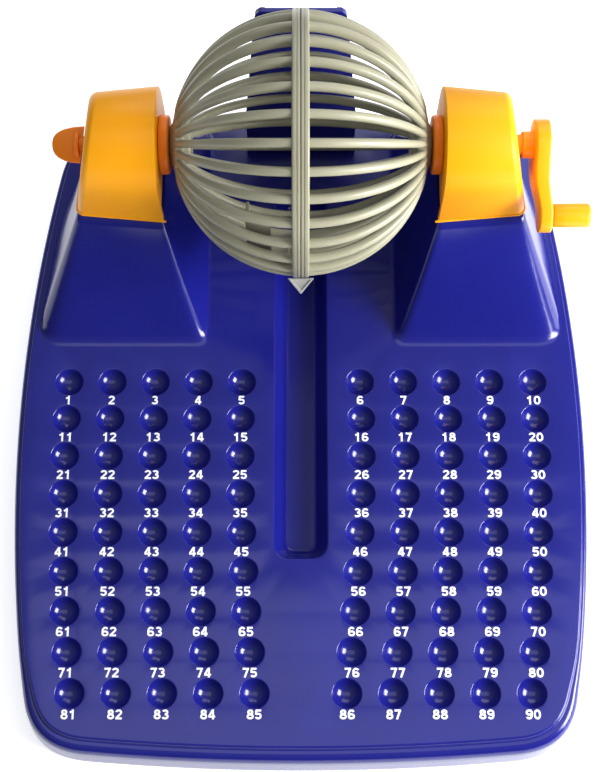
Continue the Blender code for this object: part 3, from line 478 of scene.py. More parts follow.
def build_tray():
    bm = bmesh.new()
    loops = [build_edge(bm), build_run(bm)]
    for side in (-1.0, 1.0):
        loops.append(build_pillar(bm, side))
    for _, x, y in cup_places():
        loops.append(build_cup(bm, x, y))
    points = []
    edges = []
    owners = []
    for loop in loops:
        start = len(points)
        for i, vert in enumerate(loop):
            points.append(vert.co.xy.copy())
            owners.append(vert)
            edges.append((start + i, start + (i + 1) % len(loop)))
    _, _, faces, origins, _, _ = delaunay_2d_cdt(points, edges, [], 1, 1e-7)
    owner_of = {}
    for index, loop in enumerate(loops):
        for vert in loop:
            owner_of[vert] = index
    for face in faces:
        corners = [owners[origins[i][0]] for i in face]
        rings = {owner_of[v] for v in corners}
        if len(rings) == 1 and 0 not in rings:
            centre = sum((v.co.xy for v in corners), Vector((0.0, 0.0))) / 3.0
            if inside(centre, loops[rings.pop()]):
                continue
        try:
            bm.faces.new(corners)
        except ValueError:
            pass
    return bm


def inside(p, loop):
    """Whether a plan point lies inside a loop of vertices."""
    hit = False
    count = len(loop)
    for i in range(count):
        a = loop[i].co
        b = loop[(i + 1) % count].co
        if (a.y > p.y) != (b.y > p.y):
            if p.x < (b.x - a.x) * (p.y - a.y) / (b.y - a.y) + a.x:
                hit = not hit
    return hit


tray = new_piece("tray", build_tray(), BLUE, "base", ["tray_moulding"], smooth_angle=60.0)
wall = tray.modifiers.new("Wall", "SOLIDIFY")
wall.thickness = TRAY_WALL
wall.offset = -1.0


# ==== Printed numbers ====
# White ink numbers from 1 to 90, pad-printed on the deck in front of their cups in a wide bold
# sans-serif face. The ink film is a few hundredths of a millimetre thick.
INK_LIFT = 0.06 * MM
INK_LAYER = 0.012 * MM
INK_DROP = 9.65 * MM
INK = plastic("white print", (0.78, 0.79, 0.80), (0.86, 0.86, 0.87), 0.45, drift_scale=200.0, dust=0.15)
DIGIT_H = 4.6 * MM
DIGIT_W = 0.74
DIGIT_STEP = 0.83
STROKE = 0.205


def bow(cx, cy, rx, ry, start, end, steps=22):
    """Points along a slightly squared elliptical stroke, angles in degrees."""
    made = []
    for i in range(steps + 1):
        a = radians(start + (end - start) * i / steps)
        c, d = cos(a), sin(a)
        made.append((
            cx + rx * abs(c) ** 0.9 * (1.0 if c >= 0.0 else -1.0),
            cy + ry * abs(d) ** 0.9 * (1.0 if d >= 0.0 else -1.0),
        ))
    return made


SIX = [bow(0.37, 0.31, 0.265, 0.205, 0, 360), bow(0.385, 0.5, 0.28, 0.395, 38, 200)]
DIGITS = {
    "0": [bow(0.37, 0.5, 0.265, 0.395, 0, 360, 36)],
    "1": [[(0.42, 0.0), (0.42, 1.0)], [(0.42, 0.84), (0.12, 0.70)]],
    "2": [bow(0.36, 0.70, 0.25, 0.195, 170, -38) + [(0.13, 0.14)], [(0.03, 0.105), (0.70, 0.105)]],
    "3": [bow(0.35, 0.72, 0.23, 0.175, 155, -95), bow(0.35, 0.30, 0.265, 0.195, 95, -160)],
    "4": [[(0.50, 0.0), (0.50, 1.0)], [(0.45, 0.92), (0.09, 0.33)], [(0.02, 0.28), (0.72, 0.28)]],
    "5": [[(0.10, 0.895), (0.66, 0.895)], [(0.165, 0.95), (0.125, 0.47)],
          bow(0.36, 0.335, 0.255, 0.23, 145, -158)],
    "6": SIX,
    "7": [[(0.04, 0.895), (0.71, 0.895)], [(0.60, 0.90), (0.27, 0.0)]],
    "8": [bow(0.37, 0.735, 0.215, 0.16, 0, 360), bow(0.37, 0.30, 0.262, 0.195, 0, 360)],
    "9": [[(DIGIT_W - x, 1.0 - y) for x, y in stroke] for stroke in SIX],
}


def ink_stroke(bm, points, x0, y0, z):
    """One flat stroke of constant width along a line of points."""
    rail = [Vector(p) for p in points]
    ring = (rail[0] - rail[-1]).length < 1e-6
    if ring:
        rail.pop()
    pairs = []
    count = len(rail)
    for i, p in enumerate(rail):
        before = rail[i - 1] if ring or i else p
        after = rail[(i + 1) % count] if ring or i < count - 1 else p
        along = (after - before).normalized()
        across = Vector((-along.y, along.x)) * 0.5 * STROKE
        pairs.append([
            bm.verts.new((x0 + q.x * DIGIT_H, y0 + q.y * DIGIT_H, z)) for q in (p + across, p - across)
        ])
    if ring:
        pairs.append(pairs[0])
    for (a, b), (c, d) in zip(pairs, pairs[1:]):
        bm.faces.new((a, b, d, c))


def print_numbers():
    made = bmesh.new()
    for number, x, y in cup_places():
        text = str(number)
        width = (DIGIT_W + DIGIT_STEP * (len(text) - 1)) * DIGIT_H
        for place, digit in enumerate(text):
            left = x - 0.5 * width + place * DIGIT_STEP * DIGIT_H
            for layer, stroke in enumerate(DIGITS[digit]):
                lift = INK_LIFT + INK_LAYER * layer
                ink_stroke(made, stroke, left, y - INK_DROP - 0.5 * DIGIT_H, lift)
    return made


new_piece("printed_numbers", print_numbers(), INK, "base", [])


# ==== Feet ====
# Four black rubber discs under the skirt's corners. Each is moulded with a rounded lower edge and
# glued to a post inside the tray.
RUBBER = plastic("black rubber", (0.010, 0.010, 0.011), (0.020, 0.020, 0.022), 0.75, drift_scale=160.0)


def foot(name, node):
    low, high = (Vector(v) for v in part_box(node))
    centre = 0.5 * (low + high)
    radius = 0.5 * (high.x - low.x)
    profile = [
        (0.80, low.z), (0.93, low.z + 0.1 * MM), (1.0, low.z + 0.4 * MM),
        (1.0, high.z - 0.3 * MM), (0.96, high.z),
    ]
    bm = bmesh.new()
    rings = []
    for share, z in profile:
        rings.append(add_ring(bm, circle(centre.x, centre.y, radius * share), z))
    skin(bm, rings)
    bm.faces.new(rings[0])
    bm.faces.new(rings[-1])
    return new_piece(name, bm, RUBBER, "base", [node], in_tray=False)


for place in ("front_left", "front_right", "rear_left", "rear_right"):
    foot("rubber_foot_" + place, "foot_" + place)


# ==== Rear ball guard ====
# A curved blue moulding screwed to the back of the deck. It keeps balls in the tray behind the
# cage, with a stiffening flange down each long edge.
GUARD_R = 73.8 * MM
GUARD_LOW = radians(-51.0)
GUARD_TOP = radians(-1.0)
GUARD_HALF_W = 29.0 * MM
GUARD_NARROWING = 6.5 * MM
GUARD_CORNER = 2.5 * MM
GUARD_FLANGE = 6.5 * MM
GUARD_FLANGE_TAPER = 3.7 * MM
GUARD_WALL = 2.4 * MM
GUARD_SEAT = 0.3 * MM
GUARD_FOOT_Y = REAR - 14.0 * MM
GUARD_FOOT_TOP = 4.2 * MM
GUARD_BLUE = plastic("glossy blue guard", BLUE_DARK, BLUE_LIGHT, 0.16, wave=0.03)


def on_cage(radius, angle, x):
    """A point in the tray frame round the cage axis; the angle runs from the rear over the top."""
    return Vector((x, AXIS_Y + radius * cos(angle), AXIS_Z + radius * sin(angle)))


def soften(ob, width, segments=3, angle=35.0):
    """Round the sharp edges of a moulded piece."""
    edge = ob.modifiers.new("Mould radius", "BEVEL")
    edge.width = width
    edge.segments = segments
    edge.limit_method = "ANGLE"
    edge.angle_limit = radians(angle)
    edge.harden_normals = True
    return edge


def build_guard():
    bm = bmesh.new()
    front = AXIS_Y + GUARD_R * cos(GUARD_LOW)
    stations = [(Vector((0.0, front, GUARD_SEAT)), Vector((0.0, 1.0, 0.0)), GUARD_HALF_W, GUARD_FLANGE)]
    for i in range(33):
        share = i / 32.0
        angle = GUARD_LOW + (GUARD_TOP - GUARD_LOW) * share
        out = Vector((0.0, cos(angle), sin(angle)))
        half_w = GUARD_HALF_W - GUARD_NARROWING * share
        if share > 0.94:
            half_w -= GUARD_CORNER * ((share - 0.94) / 0.06) ** 2
        flange = GUARD_FLANGE - GUARD_FLANGE_TAPER * share
        stations.append((on_cage(GUARD_R, angle, 0.0), out, half_w, flange))
    rings = []
    for base, out, w, flange in stations:
        section = [
            (-w, 0.0), (-0.5 * w, 0.0), (0.0, 0.0), (0.5 * w, 0.0), (w, 0.0), (w, flange),
            (w - GUARD_WALL, flange), (w - GUARD_WALL, GUARD_WALL), (GUARD_WALL - w, GUARD_WALL),
            (GUARD_WALL - w, flange), (-w, flange),
        ]
        rings.append([base + Vector((x, 0.0, 0.0)) + out * depth for x, depth in section])
    loft(bm, rings)
    w = GUARD_HALF_W - 0.1 * MM
    back = GUARD_FOOT_Y - 5.5 * MM
    ahead = front + 0.5 * GUARD_WALL
    rings = []
    for z in (GUARD_SEAT, GUARD_FOOT_TOP):
        rings.append([Vector(p) for p in ((-w, ahead, z), (-w, back, z), (w, back, z), (w, ahead, z))])
    loft(bm, rings)
    return bm


guard = new_piece("ball_guard", build_guard(), GUARD_BLUE, "base", ["rear_ball_guard"])
soften(guard, 1.0 * MM, 4)


# ==== Screws and spring clip ====
# Zinc-plated steel: two screws through the guard's foot, one in the end of the grip and the
# bright spring clip in the crank shaft's groove.
def steel(name, tint, rough):
    """Plated steel with fine turning marks."""
    mat = bpy.data.materials.new(name)
    mat.use_nodes = True
    nodes = mat.node_tree.nodes
    links = mat.node_tree.links
    shader = nodes["Principled BSDF"]
    shader.inputs["Metallic"].default_value = 1.0
    place = nodes.new("ShaderNodeTexCoord")
    marks = nodes.new("ShaderNodeTexNoise")
    marks.inputs["Scale"].default_value = 700.0
    links.new(place.outputs["Object"], marks.inputs["Vector"])
    tone = nodes.new("ShaderNodeMix")
    tone.data_type = "RGBA"
    tone.inputs["A"].default_value = (*[0.75 * c for c in tint], 1.0)
    tone.inputs["B"].default_value = (*tint, 1.0)
    links.new(marks.outputs["Fac"], tone.inputs["Factor"])
    links.new(tone.outputs["Result"], shader.inputs["Base Color"])
    gloss = nodes.new("ShaderNodeMapRange")
    gloss.inputs["To Min"].default_value = rough * 0.7
    gloss.inputs["To Max"].default_value = rough * 1.3
    links.new(marks.outputs["Fac"], gloss.inputs["Value"])
    links.new(gloss.outputs["Result"], shader.inputs["Roughness"])
    return mat


ZINC = steel("zinc plated steel", (0.56, 0.57, 0.60), 0.34)
SPRING = steel("bright spring steel", (0.46, 0.47, 0.50), 0.26)
for node, metal in (
    ("guard_screw_left", ZINC), ("guard_screw_right", ZINC), ("grip_screw", ZINC),
    ("shaft_retaining_clip", SPRING),
):
    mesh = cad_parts[node].data
    mesh.materials.clear()
    mesh.materials.append(metal)


# ==== Bearing hoods ====
# Bright orange covers that drop over the pillar heads and clamp the bushes in their saddles.
# Each is a thin arch that tapers away from the cage, its outer cheek leaning in.
ORANGE = plastic(
    "orange hood", (0.90, 0.335, 0.001), (0.96, 0.41, 0.001),
    0.42, drift_scale=22.0, wave=0.015, ior=1.36,
)
HOOD_WALL = 2.4 * MM
HOOD_BOTTOM = SHOULDER_Z + 0.3 * MM
CORNER_ROUND = 3.6 * MM
BEAD_R = 0.6 * MM
BEAD_LIP = 1.3 * MM
SLOT_R = 6.0 * MM
CHEEK_DROP = 15.0 * MM


def arch_ring(x_at, inset, z_bottom, side, steps=44):
    """An arch round the cage axis. x_at gives the place along the axis for a y and a height."""
    def spot(across, up, z):
        x = HOOD_X0
        for _ in range(5):
            radius = hood_radius(x) - inset
            place = (AXIS_Y + radius * across, z + radius * up)
            x = x_at(*place)
        return Vector((side * x, *place))

    heights = [z_bottom + (AXIS_Z - z_bottom) * i / 6.0 for i in range(6)]
    ring = [spot(-1.0, 0.0, z) for z in heights]
    for i in range(steps + 1):
        angle = pi - pi * i / steps
        ring.append(spot(cos(angle), sin(angle), AXIS_Z))
    return ring + [spot(1.0, 0.0, z) for z in reversed(heights)]


def cutter(name, rings, ob):
    """Cut a block out of a piece for good."""
    bm = bmesh.new()
    loft(bm, rings)
    bmesh.ops.recalc_face_normals(bm, faces=bm.faces)
    bmesh.ops.transform(bm, matrix=TRAY, verts=bm.verts)
    mesh = bpy.data.meshes.new(name)
    bm.to_mesh(mesh)
    bm.free()
    tool = bpy.data.objects.new(name, mesh)
    bpy.context.scene.collection.objects.link(tool)
    mod = ob.modifiers.new(name, "BOOLEAN")
    mod.operation = "DIFFERENCE"
    mod.solver = "EXACT"
    mod.object = tool
    bpy.context.view_layer.update()
    cut = bpy.data.meshes.new_from_object(ob.evaluated_get(bpy.context.evaluated_depsgraph_get()))
    ob.modifiers.clear()
    ob.data = cut
    bpy.data.objects.remove(tool, do_unlink=True)


def foot_bead(side):
    """A bead along the hood's bottom edge, ending in a small lip at the inner front corner."""
    z = HOOD_BOTTOM + 0.75 * MM
    path = [Vector((HOOD_X0 - BEAD_LIP, AXIS_Y - hood_radius(HOOD_X0), z))]
    for toward in (-1.0, 1.0):
        corner, _ = hood_corner(toward, z)
        run = [HOOD_X0 + (corner - CORNER_ROUND - HOOD_X0) * i / 8.0 for i in range(9)]
        spots = [Vector((x, AXIS_Y + toward * hood_radius(x), z)) for x in run]
        for i in range(1, 7):
            turn = 0.5 * pi * i / 6.0
            x = corner - CORNER_ROUND * (1.0 - sin(turn))
            radius = hood_radius(x) - CORNER_ROUND * (1.0 - cos(turn))
            spots.append(Vector((x, AXIS_Y + toward * radius, z)))
        path += spots if toward < 0.0 else spots[::-1]
    rings = []
    for i, p in enumerate(path):
        along = path[min(i + 1, len(path) - 1)] - path[max(i - 1, 0)]
        out = Vector((along.y, -along.x, 0.0)).normalized()
        ring = []
        for j in range(10):
            turn = 2.0 * pi * j / 10.0
            spot = p + out * BEAD_R * cos(turn) + Vector((0.0, 0.0, 1.0)) * BEAD_R * sin(turn)
            ring.append(Vector((side * spot.x, spot.y, spot.z)))
        rings.append(ring)
    return rings


def hood(side, label):
    bm = bmesh.new()
    rings = [
        arch_ring(lambda y, z: HOOD_X0, 0.5 * MM, HOOD_BOTTOM, side),
        arch_ring(lambda y, z: HOOD_X0 + 0.15 * MM, 0.15 * MM, HOOD_BOTTOM, side),
        arch_ring(lambda y, z: HOOD_X0 + 0.5 * MM, 0.0, HOOD_BOTTOM, side),
    ]
    for i in range(8):
        turn = 0.5 * pi * i / 7.0
        back = CORNER_ROUND * (1.0 - sin(turn))
        inset = CORNER_ROUND * (1.0 - cos(turn))
        rings.append(arch_ring(lambda y, z: hood_side_x(y, z) - back, inset, HOOD_BOTTOM, side))
    loft(bm, rings)
    piece = new_piece("hood_" + label, bm, ORANGE, "base", ["bearing_hood_" + label])
    low = HOOD_BOTTOM - 4.0 * MM
    cutter("hollow", [
        arch_ring(lambda y, z: HOOD_X0 + HOOD_WALL, HOOD_WALL, low, side, 32),
        arch_ring(lambda y, z: hood_side_x(y, z) - HOOD_WALL, HOOD_WALL, low, side, 32),
    ], piece)
    half = HOOD_R_IN - HOOD_WALL - 0.4 * MM
    cheek_z = AXIS_Z - CHEEK_DROP
    cutter("cheek", [
        [Vector((side * x, AXIS_Y + y, z)) for y, z in (
            (-half, low), (half, low), (half, cheek_z), (-half, cheek_z))]
        for x in (HOOD_X0 - 2.0 * MM, HOOD_X0 + HOOD_WALL + 0.7 * MM)
    ], piece)
    for name, radius, x0, x1 in (
        ("bush notch", SADDLE_R, HOOD_X0 - MM, HOOD_X0 + 5.0 * MM),
        ("shaft slot", SLOT_R, HOOD_TOP_X, HOOD_FOOT_X + 4.0 * MM),
    ):
        rings = []
        for x in (x0, x1):
            ring = [Vector((side * x, AXIS_Y + radius, low))]
            for i in range(25):
                angle = pi * i / 24.0
                ring.append(on_cage(radius, angle, side * x))
            ring.append(Vector((side * x, AXIS_Y - radius, low)))
            rings.append(ring)
        cutter(name, rings, piece)
    bead = bmesh.new()
    loft(bead, foot_bead(side))
    bmesh.ops.recalc_face_normals(bead, faces=bead.faces)
    bmesh.ops.transform(bead, matrix=TRAY, verts=bead.verts)
    bead.from_mesh(piece.data)
    bead.to_mesh(piece.data)
    bead.free()
    piece.data.shade_smooth()
    piece.data.set_sharp_from_angle(angle=radians(38.0))
    return piece


for hood_side, hood_label in ((-1.0, "left"), (1.0, "right")):
    hood(hood_side, hood_label)


# ==== Bearing bushes ====
# Darker orange flanged bushes, turned by the cage's pole on one side and held by the saddle on
# the other.
BUSH_ORANGE = plastic(
    "bush orange", (0.86, 0.20, 0.003), (0.95, 0.25, 0.004),
    0.40, drift_scale=60.0, ior=1.4,
)
FLANGE_X0 = 61.8 * MM
FLANGE_X1 = 66.5 * MM
FLANGE_R = 14.0 * MM
BUSH_R = 8.0 * MM
BUSH_END_X = HOOD_X0 + 0.33 * (HALF_W - HOOD_X0)
PIN_BORE_R = 4.05 * MM
SHAFT_BORE_R = 5.05 * MM


def turned(bm, profile, segs, centre_y, centre_z, side=1.0):
    """Turn a closed (x, radius) profile about a line along x. Radius zero closes on the line."""
    rings = []
    for x, radius in profile:
        if radius == 0.0:
            rings.append([bm.verts.new((side * x, centre_y, centre_z))])
            continue
        ring = circle(centre_y, centre_z, radius, segs)
        rings.append([bm.verts.new((side * x, p.x, p.y)) for p in ring])
    bored = profile[0][1] != 0.0
    pairs = list(zip(rings, rings[1:])) + ([(rings[-1], rings[0])] if bored else [])
    for near, far in pairs:
        for j in range(segs):
            k = (j + 1) % segs
            corners = []
            for vert in (near[j % len(near)], near[k % len(near)], far[k % len(far)], far[j % len(far)]):
                if vert not in corners:
                    corners.append(vert)
            bm.faces.new(corners)


def bush(side, label, bore):
    bm = bmesh.new()
    x0 = FLANGE_X0
    x1 = FLANGE_X1
    end = BUSH_END_X
    turned(bm, [
        (x0, bore), (x0, FLANGE_R - 1.4 * MM), (x0 + 0.15 * MM, FLANGE_R - 0.7 * MM),
        (x0 + 0.6 * MM, FLANGE_R - 0.2 * MM), (x0 + 1.2 * MM, FLANGE_R), (x1 - 0.5 * MM, FLANGE_R),
        (x1 - 0.1 * MM, FLANGE_R - 0.2 * MM), (x1, FLANGE_R - 0.6 * MM), (x1, BUSH_R),
        (end - 0.5 * MM, BUSH_R), (end, BUSH_R - 0.5 * MM), (end, bore),
    ], 64, AXIS_Y, AXIS_Z, side)
    new_piece("bush_" + label, bm, BUSH_ORANGE, "base", ["bearing_bush_" + label])


bush(-1.0, "left", PIN_BORE_R)
bush(1.0, "right", SHAFT_BORE_R)


# ==== Ball cage ====
# Two grey mouldings that meet at a wide rim band. Thirty ribs run from the rim to a domed disc
# at each pole, with a hub inside it for the shaft or the pin.
GREY = plastic(
    "cage grey", (0.275, 0.265, 0.185), (0.335, 0.325, 0.232),
    0.36, drift_scale=45.0, dust=0.12,
)
RIBS = 30
RIB_PHASE = radians(9.19)
WINDOW_RIB = 18
WINDOW_X = 20.5 * MM
RIB_R = 2.35 * MM
RIB_TIP_R = 1.75 * MM
RIM_R = 62.8 * MM
RIM_INNER_R = 56.6 * MM
POLE_R = 20.2 * MM
POLE_X = 61.4 * MM
HUB_IN_X = CAGE_R - 8.0 * MM
HUB_R = 9.0 * MM
HEX_BORE_R = 4.5 * MM
RIM_GROOVE = 0.30 * MM
RIM_HALF_W = 3.9 * MM
RIB_WIDTH = 0.9
RIB_SQUARE = 0.86


def rib(bm, side, angle, u_start, u_end):
    """One rib on a meridian of the cage, slimmer towards the pole and slightly squared."""
    steps = 22
    rings = []
    for i in range(steps + 1):
        u = u_start + (u_end - u_start) * i / steps
        slim = max(0.0, (u - radians(40.0)) / (u_end - radians(40.0)))
        thick = RIB_R + (RIB_TIP_R - RIB_R) * slim
        ring = []
        for j in range(16):
            turn = 2.0 * pi * j / 16
            lift = abs(sin(turn)) ** RIB_SQUARE * (1.0 if sin(turn) >= 0.0 else -1.0)
            wide = abs(cos(turn)) ** RIB_SQUARE * (1.0 if cos(turn) >= 0.0 else -1.0)
            radial = CAGE_R + thick * lift
            across = RIB_WIDTH * thick * wide
            r = radial * cos(u)
            ring.append(Vector((
                side * radial * sin(u),
                AXIS_Y + r * cos(angle) - across * sin(angle),
                AXIS_Z + r * sin(angle) + across * cos(angle),
            )))
        rings.append(ring)
    loft(bm, rings)


def sphere_x(radius, r):
    return sqrt(radius * radius - r * r)


def cage_half(side, label):
    bm = bmesh.new()
    groove_r = RIM_R - RIM_GROOVE
    turned(bm, [
        (0.15 * MM, RIM_INNER_R), (0.15 * MM, RIM_R - 0.35 * MM), (0.45 * MM, RIM_R),
        (1.35 * MM, RIM_R), (1.50 * MM, groove_r), (1.85 * MM, groove_r),
        (2.00 * MM, RIM_R), (3.15 * MM, RIM_R), (3.55 * MM, RIM_R - 0.12 * MM),
        (3.80 * MM, RIM_R - 0.45 * MM), (RIM_HALF_W, RIM_R - 0.9 * MM),
        (RIM_HALF_W, RIM_INNER_R + 0.6 * MM), (3.6 * MM, RIM_INNER_R),
    ], 160, AXIS_Y, AXIS_Z, side)
    inner = CAGE_R - RIB_R
    outer = CAGE_R + 0.6 * RIB_R
    radii = [HUB_R + (POLE_R - HUB_R) * i / 8.0 for i in range(9)]
    bore = PIN_BORE_R if side < 0.0 else HEX_BORE_R
    profile = [
        (HUB_IN_X, bore), (HUB_IN_X, HUB_R - 0.8 * MM), (HUB_IN_X + 0.3 * MM, HUB_R - 0.2 * MM),
        (HUB_IN_X + 0.8 * MM, HUB_R),
    ]
    profile += [(sphere_x(inner, r), r) for r in radii]
    profile += [(sphere_x(inner + 1.2 * MM, POLE_R + 0.6 * MM), POLE_R + 0.6 * MM)]
    profile += [(sphere_x(outer, r), r) for r in reversed(radii[1:])]
    profile += [(POLE_X - 0.3 * MM, 9.6 * MM), (POLE_X, 8.9 * MM), (POLE_X, bore)]
    turned(bm, profile, 72, AXIS_Y, AXIS_Z, side)
    u_pole = pi / 2.0 - asin((POLE_R - 2.6 * MM) / CAGE_R)
    for k in range(RIBS):
        start = 2.6 * MM
        if side < 0.0 and k == WINDOW_RIB:
            start = WINDOW_X - 0.7 * MM
        rib(bm, side, RIB_PHASE + 2.0 * pi * k / RIBS, asin(start / CAGE_R), u_pole)
    if side < 0.0:
        radius = sphere_x(CAGE_R, WINDOW_X)
        pitch = 2.0 * pi / RIBS
        middle = RIB_PHASE + pitch * WINDOW_RIB
        thick = 0.75 * RIB_R
        rings = []
        for i in range(13):
            angle = middle - pitch + 2.0 * pitch * i / 12.0
            section = circle(-WINDOW_X, radius, thick, 12)
            rings.append([on_cage(p.y, angle, p.x) for p in section])
        loft(bm, rings)
    return new_piece("cage_" + label, bm, GREY, "cage", ["cage_half_" + label], 42.0)


cage_half(-1.0, "left")
cage_half(1.0, "right")


# ==== Ball scoop ====
# A curved pocket of the same grey plastic, clipped under the ribs beside the rim. It widens into
# the mouth that carries one ball round to the outlet.
# Painted shade: this is the cage grey darkened to stand for the shade the pocket sits in under the ribs
# and rim.
SCOOP_SHADED_GREY = plastic("scoop grey", (0.20, 0.185, 0.13), (0.25, 0.235, 0.17), 0.46, drift_scale=60.0)


def scoop_r(x, depth):
    return sqrt((CAGE_R - RIB_R - 0.6 * MM - depth) ** 2 - x * x)


def scoop():
    bm = bmesh.new()
    far = -25.0 * MM
    thin = 1.6 * MM
    lip = 10.0 * MM
    for near, walled, a0, a1 in (
        (-13.5 * MM, False, radians(158.0), radians(184.5)),
        (-5.2 * MM, True, radians(184.0), radians(208.0)),
    ):
        rings = []
        for i in range(15):
            angle = a0 + (a1 - a0) * i / 14.0
            floor = [far + (near - far) * k / 6.0 for k in range(7)]
            section = [(x, scoop_r(x, 0.0)) for x in floor]
            inner_near = near
            if walled:
                section += [(near, scoop_r(near, lip)), (near - thin, scoop_r(near, lip))]
                inner_near = near - thin
            inside_floor = [inner_near + (far + thin - inner_near) * k / 6.0 for k in range(7)]
            section += [(x, scoop_r(x, thin)) for x in inside_floor]
            section += [(far + thin, scoop_r(far, lip)), (far, scoop_r(far, lip))]
            rings.append([on_cage(r, angle, x) for x, r in section])
        loft(bm, rings)
    return bm


pocket = new_piece("scoop", scoop(), SCOOP_SHADED_GREY, "cage", ["ball_scoop"])
soften(pocket, 0.4 * MM, 2)


# ==== Outlet beak ====
# A light grey pointer moulded with a raised border and clipped to the outside of the rim, where
# it marks the outlet.
BEAK_GREY = plastic("beak grey", (0.27, 0.27, 0.26), (0.33, 0.33, 0.315), 0.40, drift_scale=90.0)
BEAK_ANGLE = radians(207.5)


def beak():
    bm = bmesh.new()
    base = Vector((-6.4 * MM, 0.0)), Vector((6.4 * MM, 0.0)), Vector((0.0, 7.8 * MM))

    def outline_at(inset):
        centre = Vector((0.0, 2.7 * MM))
        corners = [p + (centre - p).normalized() * inset * (2.0 if i == 2 else 1.8)
                   for i, p in enumerate(base)]
        return rounded_loop(corners, [0.5 * MM, 0.5 * MM, 0.7 * MM], 4)

    out = Vector((0.0, cos(BEAK_ANGLE), sin(BEAK_ANGLE)))
    along = Vector((0.0, out.z, -out.y))
    root = on_cage(RIM_R + 0.45 * MM, BEAK_ANGLE, 0.0)
    rings = []
    for inset, rise in (
        (0.25, -1.5), (0.0, -1.25), (0.0, 1.2), (0.12, 1.45), (0.3, 1.5), (0.75, 1.5), (0.9, 1.4),
        (1.0, 1.05), (1.1, 1.0),
    ):
        rings.append([
            root + Vector((p.x, 0.0, 0.0)) + out * p.y + along * rise * MM
            for p in outline_at(inset * MM)
        ])
    loft(bm, rings)
    return bm


new_piece("beak", beak(), BEAK_GREY, "cage", ["outlet_beak"])


# ==== Crank ====
# Shaft, collar and bent arm in one yellow-orange moulding. Its hexagonal end drives the right
# hub, and a spigot at the other end carries the grip.
CRANK_ORANGE = plastic(
    "crank orange", (0.86, 0.33, 0.001), (0.92, 0.39, 0.001),
    0.36, drift_scale=40.0, ior=1.4,
)
SHAFT_R = 5.0 * MM
HEX_R = 4.0 * MM
HEX_END_X = 61.3 * MM
CLIP_GROOVE_R = 4.2 * MM
CLIP_GROOVE_W = 1.6 * MM
SPIGOT_R = 3.0 * MM
SPIGOT_ROOT_R = 4.3 * MM
ARM_LENGTH = 33.3 * MM
ARM_ANGLE = radians(208.0)
ARM_HUB_R = 12.0 * MM
ARM_TIP_R = 8.0 * MM
COLLAR_X0 = HOOD_X0 + 0.487 * (HALF_W - HOOD_X0)
COLLAR_R = 6.4 * MM
ARM_X0 = COLLAR_X0 + 5.5 * MM
ARM_THICK = 7.2 * MM
ARM_TIP_THICK = 6.3 * MM
ARM_OFFSET = 3.3 * MM
FACE_X = ARM_X0 + ARM_OFFSET + ARM_TIP_THICK
GRIP_X0 = FACE_X + 0.6 * MM
GRIP_X1 = GRIP_X0 + 17.9 * MM
SHAFT_IN_X = HUB_IN_X + 3.0 * MM
END_Y = AXIS_Y + ARM_LENGTH * cos(ARM_ANGLE)
END_Z = AXIS_Z + ARM_LENGTH * sin(ARM_ANGLE)


def arm_point(x, along, across):
    """A point on the crank arm: along it from the cage axis, and square to it."""
    return Vector((
        x,
        AXIS_Y + along * cos(ARM_ANGLE) - across * sin(ARM_ANGLE),
        AXIS_Z + along * sin(ARM_ANGLE) + across * cos(ARM_ANGLE),
    ))


def crank():
    bm = bmesh.new()
    groove = BUSH_END_X + 0.2 * MM
    turned(bm, [
        (SHAFT_IN_X, 0.0), (SHAFT_IN_X, HEX_R), (HEX_END_X, HEX_R), (HEX_END_X + 0.3 * MM, SHAFT_R),
        (groove, SHAFT_R), (groove, CLIP_GROOVE_R), (groove + CLIP_GROOVE_W, CLIP_GROOVE_R),
        (groove + CLIP_GROOVE_W, SHAFT_R), (COLLAR_X0, SHAFT_R),
        (COLLAR_X0, COLLAR_R - 0.4 * MM), (COLLAR_X0 + 0.4 * MM, COLLAR_R),
        (ARM_X0 + MM, COLLAR_R), (ARM_X0 + MM, 0.0),
    ], 48, AXIS_Y, AXIS_Z)
    rings = []
    steps = 40
    edge = 1.1 * MM
    spread = ARM_LENGTH + ARM_HUB_R + ARM_TIP_R
    for i in range(steps + 1):
        turn = pi * i / steps
        along = -ARM_HUB_R + spread * (1.0 - cos(turn)) / 2.0
        share = min(1.0, max(0.0, along / ARM_LENGTH))
        full = ARM_HUB_R + (ARM_TIP_R - ARM_HUB_R) * share
        beyond = max(0.0, -along, along - ARM_LENGTH)
        half_w = sqrt(max(full * full - beyond * beyond, (1.6 * MM) ** 2))
        bend = min(1.0, max(0.0, (share - 0.4) / 0.6))
        smooth = bend * bend * (3.0 - 2.0 * bend)
        x0 = ARM_X0 + ARM_OFFSET * smooth
        x1 = x0 + ARM_THICK + (ARM_TIP_THICK - ARM_THICK) * smooth
        ring = []
        low, high = edge - half_w, half_w - edge
        for x, across, start in (
            (x0 + edge, low, pi), (x1 - edge, low, 1.5 * pi), (x1 - edge, high, 0.0),
            (x0 + edge, high, 0.5 * pi),
        ):
            for k in range(5):
                a = start + 0.5 * pi * k / 4.0
                ring.append(arm_point(x + edge * cos(a), along, across + edge * sin(a)))
        rings.append(ring)
    loft(bm, rings)
    turned(bm, [
        (FACE_X - MM, 0.0), (FACE_X - MM, SPIGOT_ROOT_R), (FACE_X + 0.3 * MM, SPIGOT_ROOT_R),
        (FACE_X + 0.3 * MM, SPIGOT_R), (GRIP_X1 - 3.2 * MM, SPIGOT_R), (GRIP_X1 - 3.2 * MM, 0.0),
    ], 32, END_Y, END_Z)
    return bm


new_piece("crank_arm", crank(), CRANK_ORANGE, "cage", ["crank"])


# ==== Handle grip ====
# A short yellow-orange moulded sleeve that turns freely on the crank's spigot. A screw sunk in
# its end holds it on.
GRIP_BORE_R = 3.05 * MM
GRIP_R = 5.9 * MM
SCREW_WELL_R = 4.3 * MM


